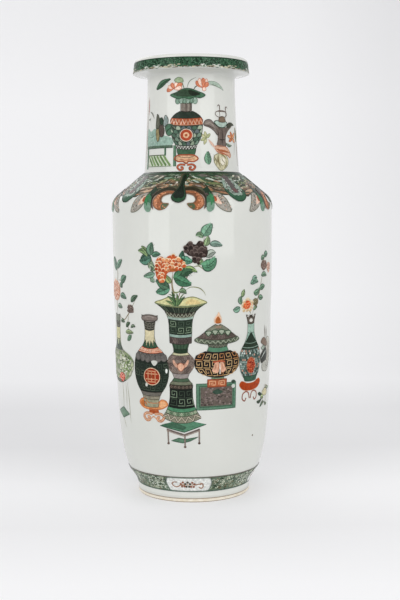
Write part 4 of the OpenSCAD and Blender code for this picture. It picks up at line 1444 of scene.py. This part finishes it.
bottle.fill([(-4.6, 93.6), (8, 93.6), (7, 99), (-4, 99)], (164, 76, 34), 1)
scroll_feet(bottle, 1, 86, 94.4, 12.4, (214, 168, 134), (182, 112, 76))
lines(bottle, [(1.4, (204, 150, 114), [(-3, 87.6), (1, 91), (5, 87.6)])], 4)
fret_bottle.bands((
    (101, 109, (152, 150, 124)), (109, 112.6, (140, 134, 116)), (112.6, 116.6, (108, 104, 96)),
    (116.6, 149, (25, 36, 27)), (149, 156.4, (96, 92, 88)), (156.4, 161.6, (198, 108, 78)),
    (161.6, 166, (196, 190, 150)), (166, 179, (210, 200, 164)), (179, 187, (54, 56, 48)),
    (187, 193, (136, 130, 120))))
fret_bottle.pattern(118, 146, 6, 4, fret_unit, 0.55, ((58, 74, 60), (46, 60, 48), (80, 94, 76)), 4)
fret_bottle.pattern(150, 155.8, 12, 2, ring_unit, 0.55, ((66, 62, 60), (138, 132, 124)), 4, True)
fret_bottle.pattern(157, 161, 11, 1, fret_unit, 0.5, ((240, 212, 188), (236, 200, 172)), 4)
fret_bottle.teeth(161.8, 169, 4, (54, 84, 60), 4, (30, 50, 36))
fret_bottle.pattern(180, 186.4, 3, 1, fret_unit, 0.7, ((120, 116, 104),), 4)
shape(bottle, [
    (-10, 188.4), (-10.4, 191.2), (-6.8, 192.8), (-1.2, 193.4), (4.4, 192.8), (8, 191.2), (7.6, 188.4),
    (4, 187.4), (-6.4, 187.4)], (126, 115, 108), 6, (80, 71, 66), 0.8)
lines(bottle, [(1.0, (158, 148, 140), [(-7.6, 190.6), (-1.2, 191.8), (5.2, 190.6)])], 9)
# Cloud collar: lobes that hang from it, and a pale point in the middle
for i in range(6):
    lobe = disc(-16.4 + i * 6.2, 149 + abs(i - 2.5) * 0.8, 3.3, 3.8, 12)
    bottle.fill(lobe, (104, 100, 96), 6 + i % 2)
    bottle.stroke(lobe, 0.45, (80, 76, 72), 9, closed=True)
shape(bottle, [(0.4, 146.8), (4, 148), (7.6, 147), (5.6, 143.4), (3, 142.8)], (206, 208, 200), 10)
bottle.fill(disc(17.2, 138, 1.2, 2.4, 10), (222, 226, 220), 7)
bottle.fill(disc(-6.2, 123, 1.5, 2.0, 10), (206, 208, 200), 7)
# Medallion: a red round with a thin cream border and a plain fret
medal_x, medal_z = 0.4, 131.6
bottle.fill(disc(medal_x, medal_z, 9.8, 8.9, 22), (222, 190, 158), 8)
bottle.fill(disc(medal_x, medal_z, 8.9, 8.1, 22), (152, 46, 14), 9)
for rise, half in ((5.4, 5.0), (2.7, 7.0), (-2.7, 7.0), (-5.4, 5.0)):
    bottle.stroke(
        [(medal_x - half, medal_z + rise), (medal_x + half, medal_z + rise)], 1.0, (206, 152, 114), 11)
for aside in (-4.2, 0, 4.2):
    bottle.stroke([(medal_x + aside, 127), (medal_x + aside, 136.2)], 1.0, (204, 148, 110), 12)
bottle.fill(disc(medal_x, medal_z, 2.2, 1.4, 10), (150, 74, 40), 13)
fret_bottle_bearing = -30.8
lay("fret_bottle", bottle, body_r, fret_bottle_bearing, front_and_back)


# Censer: a lidded drum censer on a low stand over a mottled box, right of the beaker.
# Fret in black and cream, a green collar and an orange flame for a finial; fired on over the glaze.
censer_sheet = Sheet()
censer = Vessel(censer_sheet, -0.4, [
    (129.6, 6.6), (132.6, 6.2), (133, 11), (134.2, 15.4), (136, 18.8), (139, 22), (143, 23.8), (147, 24),
    (151, 23.6), (154, 22.2), (156.2, 19.8), (157.6, 15), (158, 11.2), (162, 9.6), (165.4, 10.6),
    (165.6, 17), (167, 22), (169, 24.2), (171, 22.4), (173, 18.6), (176, 14.6), (179, 11.4), (182, 7),
    (184.4, 2.6)], [(129.6, 0.8), (133, 1.6), (165, 1.4), (171, 3.0), (184, 1.0)])
# Box under the stand, mottled in aubergine inside a green frame
box_edge = [(-22.6, 99), (20, 99.4), (20, 125.6), (-22.6, 125.4)]
censer_sheet.fill(box_edge, (90, 128, 104), 0)
censer_sheet.stroke(box_edge, 0.6, (62, 92, 74), 2, closed=True)
censer_sheet.fill([(-18.4, 102.8), (16, 103), (16, 122), (-18.4, 122)], (100, 90, 82), 1)
censer_sheet.stroke([(-19.4, 102), (17, 102.2), (17, 123), (-19.4, 123)], 0.7, (46, 74, 56), 3, closed=True)
box_mottle = ((70, 62, 58), (128, 114, 108), (140, 126, 120), (112, 96, 92), (66, 58, 54))
for _ in range(130):
    dot = disc(
        chance.uniform(-17.4, 15), chance.uniform(103.8, 121),
        chance.uniform(0.7, 1.7), chance.uniform(0.4, 0.9), 9)
    censer_sheet.fill(dot, chance.choice(box_mottle), 2)
shape(censer_sheet, [(-6, 117), (-1, 119.6), (5, 117), (2, 114.8), (-3, 114.8)], (54, 76, 62), 4)
shape(censer_sheet, [(14.6, 126.6), (17, 128), (19.6, 126.4), (18, 124.6), (15.4, 124.8)], (52, 72, 58), 5)
censer_sheet.fill(disc(17, 121.6, 2.2, 2.0, 10), (206, 210, 202), 5)
stand_edge = [(-11, 122), (8.6, 122), (9, 129.6), (-11.2, 129.6)]
censer_sheet.fill(stand_edge, (172, 92, 58), 6)
stand_fret = ((-3, 124), (-3, 127.8), (3, 127.8), (3, 124), (-1, 124), (-1, 126), (1, 126))
for middle in (-6, 3.6):
    censer_sheet.stroke([(middle + x, z) for x, z in stand_fret], 0.9, (222, 168, 128), 8)
censer_sheet.stroke(stand_edge, 0.8, (140, 66, 40), 9, closed=True)
censer.bands((
    (129.6, 132.8, (110, 134, 106)), (133, 157.8, (20, 15, 11)), (158, 162.4, (84, 130, 102)),
    (162.4, 165.4, (112, 114, 100)), (165.6, 171.6, (104, 114, 96)), (171.6, 176.4, (92, 82, 74)),
    (176.4, 184.4, (126, 128, 112))), 5)
censer.pattern(
    134, 157, 6, 3, fret_unit, 0.75, ((198, 164, 116), (188, 150, 102), (196, 166, 120), (180, 126, 80)),
    8)
censer.pattern(162.8, 165, 7, 1, zigzag_unit, 0.6, ((70, 76, 62),), 8)
censer.pattern(166.4, 171, 8, 1, zigzag_unit, 0.8, ((58, 66, 52),), 8)
censer.pattern(166.2, 170.8, 8, 1, ((0, 1), (0.5, 0.25), (1, 1)), 0.6, ((164, 172, 150),), 9)
censer.pattern(172.4, 176, 10, 1, cross_unit, 0.5, ((116, 102, 96), (72, 62, 58)), 8)
for i in range(4):
    swag_x = (i - 1.5) * 6.8
    hang = abs(i - 1.5)
    shape(censer_sheet, [
        (swag_x - 3.2, 178.2 - hang), (swag_x, 179.4 - hang), (swag_x + 3.2, 178.2 - hang),
        (swag_x, 174.4 - hang)], (162, 172, 152), 9, (58, 82, 60), 0.9)
shape(censer_sheet, [(-4, 181.6), (0, 183.4), (4, 181.6), (0, 180)], (150, 128, 110), 9, (104, 112, 88))
# Pale two-lobed cloth with a red edge, over the drum
for lobe in ([(-3.6, 146), (-5, 142), (-6.6, 138.4), (-3, 136), (0.2, 137), (1, 143), (0.6, 146.4)],
             [(2, 146.4), (2.8, 137.4), (6, 136.8), (8.4, 139.4), (6.4, 143), (5, 146.4)]):
    shape(censer_sheet, lobe, (220, 170, 142), 10)
censer_sheet.stroke([(1.5, 145.4), (1.7, 140), (1.8, 134.8)], 1.1, (226, 216, 204), 12)
censer_sheet.stroke([(-5.4, 146.8), (1, 147.8), (6.8, 147)], 1.5, (176, 86, 56), 12)
lines(censer_sheet, [
    (0.8, (182, 110, 82), [(0.6, 146), (0.2, 142), (-0.6, 138)]),
    (0.7, (188, 126, 98), [(-2.6, 146), (-3, 142), (-4.4, 138.4)]),
    (0.7, (188, 126, 98), [(3.6, 146), (4.2, 142), (5.8, 138.6)])], 13)
# Flame for a finial
shape(censer_sheet, [
    (-3.6, 185.4), (-4, 190), (-1.4, 193.4), (0.4, 196.4), (2.2, 193), (3.6, 189.4), (2.8, 185.4)],
    (226, 190, 160), 6)
shape(censer_sheet, [(-2.4, 185.4), (-2.8, 188.8), (-0.4, 192.2), (2.2, 189), (2, 185.4)], (170, 96, 46), 8)
censer_bearing = 17.7
lay("censer", censer_sheet, body_r, censer_bearing, front_and_back)


# Scale bottle: a slender bottle with scale diaper and a sprig of chrysanthemum, right of the censer.
# It stands on an orange dish with scrolled legs; enamels fired on over the glaze.
slender = Sheet()
scale_bottle = Vessel(slender, -0.4, [
    (125, 8.4), (128, 9.6), (131, 11.8), (136, 14.2), (142, 15.4), (149, 15.6), (155, 14.4), (159, 12.4),
    (163, 9.4), (168, 6.8), (174, 4.9), (182, 4.7), (184, 4.9), (188, 5.8), (192, 7.2)],
    [(125, 1.0), (150, 1.6), (192, 0.8)])
shape(slender, [
    (-15.4, 121), (-12.6, 125), (-5, 122.4), (5, 122.6), (13, 125.6), (16.4, 122.4), (12, 117.2),
    (2, 115), (-10, 116)], (166, 60, 4), 0, (188, 102, 52), 0.7)
dish_leg = ((0.8, 106.6), (2.4, 112.4), (6.4, 114), (10.4, 111.6), (10.8, 107), (7.6, 104.6), (5.6, 107.6))
for side in (-1, 1):
    leg = [(-0.6 + side * x, z) for x, z in dish_leg]
    slender.stroke(smooth(leg), 1.3, (146, 84, 64), 2)
scale_bottle.bands((
    (125, 130.6, (52, 88, 68)), (130.6, 158, (104, 116, 106)), (158, 162, (44, 58, 44)),
    (162, 174, (150, 180, 164)), (174, 183, (162, 190, 174)), (183, 192, (92, 84, 74))))
scale_tints = (
    (214, 222, 216), (160, 182, 174), (86, 108, 100), (146, 164, 156), (58, 76, 68), (204, 160, 140))
scale_bottle.scales(131, 157.6, 11, 12, scale_tints, (76, 92, 84))
scale_bottle.teeth(160, 175.6, 1, (32, 48, 34), 4)
scale_bottle.teeth(158.4, 166, 3, (40, 56, 40), 4)
scale_bottle.rule(159.6, 0.7, (136, 160, 146), 7)
scale_bottle.rule(164, 0.6, (126, 150, 134), 7)
for x, z, across, tall in ((0, 186, 2.6, 1.8), (-4, 190.6, 1.6, 1.2), (3.6, 190.6, 1.6, 1.2)):
    slender.fill(disc(x - 0.4, z, across, tall, 10), (216, 214, 206), 4)
lines(slender, [(0.9, line_dark, [(-7, 192), (-2, 189.4), (-0.4, 191), (1, 189.4), (6, 192)])], 6)
slender.fill(disc(-0.4, 140.6, 6.4, 8.4, 14), (170, 104, 74), 8)
ruffled(
    slender, disc(-0.4, 140.4, 5.2, 7.0, 14), 2.2, ((164, 46, 14), (132, 32, 8), (186, 74, 36)),
    (208, 116, 78), 9)
lines(slender, [
    (1.1, stem_brown, [(-0.6, 192), (-3, 196), (-5, 199)]),
    (1.1, stem_brown, [(1, 192), (7, 202), (12, 212), (16, 224), (20, 236)]),
    (0.9, stem_brown, [(13, 214), (20, 219), (23, 219)]),
    (0.9, stem_brown, [(-9, 200), (-15, 206), (-12, 215)]),
    (0.9, stem_brown, [(18, 242), (22, 247), (27, 252)])], 1)
leaves(slender, [
    (6, (112, 146, 126), [(-16, 200), (-20, 197.6), (-24, 198)]),
    (5, (108, 136, 112), [(-14, 203), (-16, 207), (-14, 211)]),
    (4.4, (132, 152, 110), [(-13.6, 210), (-12, 214), (-10.6, 217.4)]),
    (6, (100, 130, 104), [(3, 213), (8, 213.6), (13, 217)]),
    (6, (96, 126, 102), [(13, 217), (18, 218.6), (23.6, 219)]),
    (5.4, (108, 138, 114), [(11, 209), (15, 208), (19.6, 207.4)]),
    (6, (106, 138, 118), [(-2, 222.6), (4, 225.4), (10, 224)]),
    (4.6, (116, 146, 128), [(1, 226), (4, 228.6), (8, 228.4)]),
    (5, (104, 132, 108), [(16, 230), (22, 231.4), (28, 229.4)]),
    (5, (104, 132, 108), [(16, 246), (19, 248.4), (22, 247)]),
    (6.4, (96, 124, 106), [(22, 249), (26, 251.6), (30.6, 251.4)]),
    (3.6, (120, 142, 112), [(3, 196), (6, 198.6), (9, 198.6)])], 2)
ruffled(
    slender, disc(-6, 201.6, 8.2, 6.2, 16), 2.6, ((224, 204, 168), (214, 186, 146), (228, 196, 164)),
    (238, 226, 200), 4)
ruffled(
    slender, disc(-6.6, 202, 4.8, 4.2, 14), 2.2, ((204, 80, 40), (188, 60, 22), (222, 108, 62)),
    (240, 160, 110), 12)
ruffled(slender, disc(5.8, 204, 4.6, 3.8, 12), 2.2, ((112, 102, 72), (98, 88, 62)), (146, 136, 104), 6)
ruffled(slender, disc(21.6, 240.4, 6.6, 4.8, 14), 2.4, ((116, 92, 82), (100, 78, 70)), (156, 134, 122), 6)
ruffled(
    slender, disc(33.4, 238, 4.6, 4.8, 12), 2.2, ((196, 152, 134), (176, 130, 112)), (222, 192, 176), 6)
scale_bottle_bearing = 45.5
lay("scale_bottle", slender, body_r, scale_bottle_bearing, front_and_back)


# Scholar's things: a jar of scrolls and brushes over a tassel and ribbon, right of the scale bottle.
# Brush drawing in aubergine, dark green and cream enamel, fired on over the glaze.
scholar = Sheet()
for points, colour, level in (
    ([(-2, 140), (0, 162), (6, 166), (12, 160), (11, 142), (5, 136)], (204, 202, 190), 1),
    ([(-9, 133), (-8, 142), (2, 142), (8, 137), (2, 131)], (184, 184, 174), 2),
    ([(-13.4, 148), (-9, 152), (-3, 156), (1.4, 152), (1, 144), (-5, 141.6), (-11.4, 140.6)],
     (46, 50, 44), 4),
    ([(-12.6, 162.6), (-6, 166.4), (1.6, 161), (0, 156.6), (-8, 159)], (126, 106, 90), 4),
    ([(-12, 156), (-6, 158.4), (-3, 156), (-8, 153.6)], (158, 172, 158), 5),
    ([(-7, 110), (0, 113.4), (7, 110), (5, 105.6), (-4, 106)], (208, 200, 160), 1),
):
    shape(scholar, points, colour, level, (84, 80, 70))
lines(scholar, [
    (1.3, (128, 120, 108), [(-4, 166), (-3.6, 172), (-4.4, 179)]),
    (1.1, (112, 108, 98), [(-1, 163), (0.4, 170), (0, 177)]),
    (1.2, (152, 142, 128), [(4, 138), (4.6, 152), (4, 164)]),
    (1.0, (128, 122, 110), [(8, 140), (8.6, 152), (8, 162)]),
    (1.2, (188, 196, 188), [(-12, 145), (-6, 149.6), (0, 153)]),
    (1.0, (150, 140, 116), [(-3, 113), (2, 116), (8, 114)]),
    (0.8, (156, 146, 118), [(-4, 106), (-6, 100), (-3, 95)]),
    (0.8, (156, 146, 118), [(2, 106), (3, 100), (1, 96)])], 7)
leaves(scholar, [
    (3.4, (48, 62, 48), [(-16, 109.6), (-12, 108.4), (-7.6, 107.4)]),
    (3.2, (52, 66, 50), [(-18, 101), (-13, 100.6), (-8, 103)]),
    (3.2, (78, 96, 74), [(-11, 95), (-6, 98.6), (-1, 99)]),
    (4.4, (152, 166, 118), [(-10, 104), (-7, 105.4), (-4, 103)]),
    (3, (122, 136, 108), [(0, 98), (4, 96), (8, 96)]),
    (3, (140, 150, 122), [(2, 114), (7, 112.6), (12, 113)])], 2)
scholar_bearing = 66
lay("scholar_things", scholar, body_r, scholar_bearing, front_and_back)


# Floral bottle: a bottle with a flowered body, chrysanthemums in it and a hanging chime, at the far left.
# Grey and light green enamels with a yellow neck, fired on over the glaze.
flowered = Sheet()
floral_x = -13.4
floral_bottle = Vessel(flowered, floral_x, [
    (121, 10), (125, 20), (130, 27), (137, 31), (144, 32.4), (149, 28), (153, 19), (155, 12), (158, 8),
    (164, 6.6), (172, 6), (178, 6), (179, 6.6), (191, 7)], [(121, 1.0), (191, 1.0)])
floral_bottle.bands((
    (121, 124, (92, 104, 80)), (124, 155, (156, 160, 144)), (155, 160, (78, 92, 76)),
    (160, 166, (176, 182, 148)), (166, 178, (198, 194, 146)), (178, 184, (60, 62, 52)),
    (184, 191, (112, 118, 100))))
floral_tints = ((206, 208, 188), (178, 186, 152), (154, 170, 124), (192, 194, 172), (132, 150, 108))
floral_bottle.scales(125, 154, 12, 6, floral_tints, (140, 150, 120))
floral_bottle.teeth(155.4, 165.6, 2, (60, 76, 58), 4)
floral_bottle.pattern(179, 183.4, 3, 1, fret_unit, 0.7, ((128, 126, 110),), 4)
fleck_tints = ((86, 112, 66), (240, 242, 234), (58, 82, 56), (232, 234, 216), (150, 172, 110))
for _ in range(100):
    share = chance.random()
    fleck_z = chance.uniform(128 + 6 * share, 154 - 6 * share)
    fleck = disc(floral_x + between(4, 28, share), fleck_z, chance.uniform(0.6, 1.3), 0.6, 7)
    flowered.fill(fleck, chance.choice(fleck_tints), 9)
ruffled(
    flowered, disc(-4.4, 127, 6.4, 4.0, 14), 2.2, ((206, 84, 62), (190, 66, 46), (220, 112, 88)),
    (242, 190, 172), 11)
lines(flowered, [
    (0.9, (142, 140, 108), [(-5, 121), (-4.6, 104), (-6, 94)]),
    (0.9, (142, 140, 108), [(5.6, 122), (7.6, 104), (8.4, 80)]),
    (0.8, (150, 148, 118), [(2, 122), (3, 110), (2, 94)]),
    (0.8, (150, 148, 118), [(-8, 84), (-5, 78), (-3, 74)])], 1)
chime = [(-21, 89.4), (-6, 95), (7, 89), (-8, 83.4)]
flowered.fill(chime, (104, 134, 110), 3)
flowered.stroke(chime, 0.7, (62, 92, 70), 5, closed=True)
lines(flowered, [
    (1.1, stem_brown, [(-14, 191), (-14, 200), (-15, 208)]),
    (1.1, stem_brown, [(-12, 222), (-9, 232), (-12, 242)]),
    (1.1, stem_brown, [(-10, 191), (2, 186), (10, 191), (18, 200), (24, 208)]),
    (0.9, stem_brown, [(12, 192), (10, 182), (13, 170)]),
    (0.9, stem_brown, [(-8, 226), (0, 226), (4, 228)])], 1)
leaves(flowered, [
    (9, (96, 126, 108), [(-12, 236), (-17, 243), (-22, 249)]),
    (7, (104, 134, 114), [(-11, 238), (-5, 242.6), (2, 246.4)]),
    (8, (88, 118, 98), [(-1, 224), (4, 227.6), (9.6, 230)]),
    (6, (84, 110, 90), [(-2, 218.6), (-0.6, 221), (2, 223)]),
    (6, (92, 120, 102), [(-3, 209.6), (3, 210.6), (9, 207.6)]),
    (5, (116, 138, 118), [(-11, 199), (-5, 199.6), (0, 198)]),
    (5.4, (78, 98, 80), [(17, 205), (21, 209), (27, 211.6)]),
    (4, (96, 112, 92), [(-4, 184), (0, 185), (4, 183.6)]),
    (4.4, (72, 90, 70), [(7, 179), (10, 182), (14, 183.6)]),
    (4.4, (136, 150, 112), [(6, 173.6), (12, 174.4), (19, 173.6)]),
    (5, (98, 130, 104), [(9, 165.4), (13, 168.6), (16, 171)]),
    (3, (110, 124, 104), [(15, 179), (19, 181), (22, 180)])], 2)
ruffled(
    flowered, disc(-15, 215, 11.6, 10.6, 18), 3.0, ((206, 150, 122), (192, 120, 88), (216, 166, 140)),
    (234, 202, 182), 5)
ruffled(flowered, disc(15.8, 197.8, 4.8, 4.2, 12), 2.2, ((104, 88, 80), (88, 74, 68)), (142, 126, 116), 5)
floral_bottle_bearing = -60
lay("floral_bottle", flowered, body_r, floral_bottle_bearing, front_and_back)


# Kiln speck: a small dark dot of iron burnt into the glaze, low on the right of the front.
# It is in the glaze itself and stands a hair above it.
speck_sheet = Sheet()
speck_sheet.fill(disc(0, 67, 1.1, 1.0, 12), (122, 114, 100), 0)
speck_bearing = 50.8
lay("kiln_speck", speck_sheet, body_r, speck_bearing, 1)


# Stage: a pale sweep of paper, large soft boxes and an even sky; none of it is the vase's.
# Two boxes stand left and right of the camera and give the upright bands of light; one behind the
# vase on the left gives the sheen on that side of the shoulder.
sweep_front = -2.5
sweep_back = 1.6
sweep_bend = 0.8
sweep_top = 3.0
sweep_half = 3.0
bend_steps = 15
sweep_line = (
    [(sweep_front, 0.0)]
    + [(sweep_back - sweep_bend + sweep_bend * math.sin(a), sweep_bend - sweep_bend * math.cos(a))
       for a in (math.pi / 2 * i / bend_steps for i in range(bend_steps + 1))]
    + [(sweep_back, sweep_top)]
)
sweep_points = [(x, y, z) for y, z in sweep_line for x in (-sweep_half, sweep_half)]
sweep_faces = [(2 * i, 2 * i + 1, 2 * i + 3, 2 * i + 2) for i in range(len(sweep_line) - 1)]
sweep_mesh = bpy.data.meshes.new("sweep")
sweep_mesh.from_pydata(sweep_points, [], sweep_faces)
sweep_mesh.shade_smooth()
sweep = bpy.data.objects.new("sweep", sweep_mesh)
scene.collection.objects.link(sweep)
paper, paper_shader, paper_place = new_material("paper")
paper_axes = add_node(paper.node_tree, "ShaderNodeSeparateXYZ", {0: paper_place})
# Painted light and shade on the paper: its glow is raised or lowered over some stretches, with a painted
# shadow on the floor behind the vase: axis, start, end, glow added by the end
paper_glow = 0.312
for axis, start, end, added in (
    ("Z", -0.06, 0.1, 0.055), ("Z", 0.55, 0.8, -0.04), ("X", -0.25, 0.15, 0.03), ("X", 0.26, 0.5, -0.075),
    ("Y", -0.30, -0.14, -0.065), ("Y", -0.14, -0.03, 0.035), ("Y", 0.02, 0.2, -0.085),
    ("Y", 0.45, 0.72, 0.085),
):
    stretch_glow = fade(paper.node_tree, paper_axes.outputs[axis], start, end, 0.0, added)
    paper_glow = calculate(paper.node_tree, "ADD", paper_glow, stretch_glow)
paper_shader.inputs["Base Color"].default_value = linear(201, 201, 203)
paper_shader.inputs["Roughness"].default_value = 1.0
paper_shader.inputs["Specular IOR Level"].default_value = 0.0
paper_shader.inputs["Emission Color"].default_value = (1, 1, 1, 1)
paper.node_tree.links.new(paper_glow, paper_shader.inputs["Emission Strength"])
sweep_mesh.materials.append(paper)

lamp_aim = Vector((0, 0, 0.24))


def add_soft_box(name, azimuth, distance, height, width, tall, power):
    """A rectangular lamp, so many degrees right of the camera as seen from the vase."""
    lamp = bpy.data.lights.new(name, "AREA")
    lamp.shape = "RECTANGLE"
    lamp.size = width
    lamp.size_y = tall
    lamp.energy = power
    stand = bpy.data.objects.new(name, lamp)
    scene.collection.objects.link(stand)
    side = math.radians(azimuth)
    stand.location = (distance * math.sin(side), -distance * math.cos(side), height)
    stand.rotation_euler = (lamp_aim - stand.location).to_track_quat("-Z", "Y").to_euler()


# Boxes: name, bearing in degrees, distance, height over the floor, width, height and power
for box in (
    ("left_box", -47, 1.5, 0.9, 1.0, 1.6, 6.2),
    ("right_box", 42, 1.6, 0.9, 1.2, 1.6, 7.2),
    ("top_box", 0, 0.3, 2.2, 2.0, 2.0, 4),
    ("back_box", -148, 1.4, 1.3, 0.8, 1.0, 2.4),
):
    add_soft_box(*box)

sky = bpy.data.worlds.new("sky")
scene.world = sky
sky.use_nodes = True
sky_light = sky.node_tree.nodes["Background"]
sky_light.inputs["Color"].default_value = (1, 1, 1, 1)
sky_on_vase = 0.66
sky_seen = 0.86
sky_ray = add_node(sky.node_tree, "ShaderNodeLightPath").outputs["Is Camera Ray"]
sky_strength = fade(sky.node_tree, sky_ray, 0.0, 1.0, sky_on_vase, sky_seen)
sky.node_tree.links.new(sky_strength, sky_light.inputs["Strength"])

scene.view_settings.view_transform = "Standard"
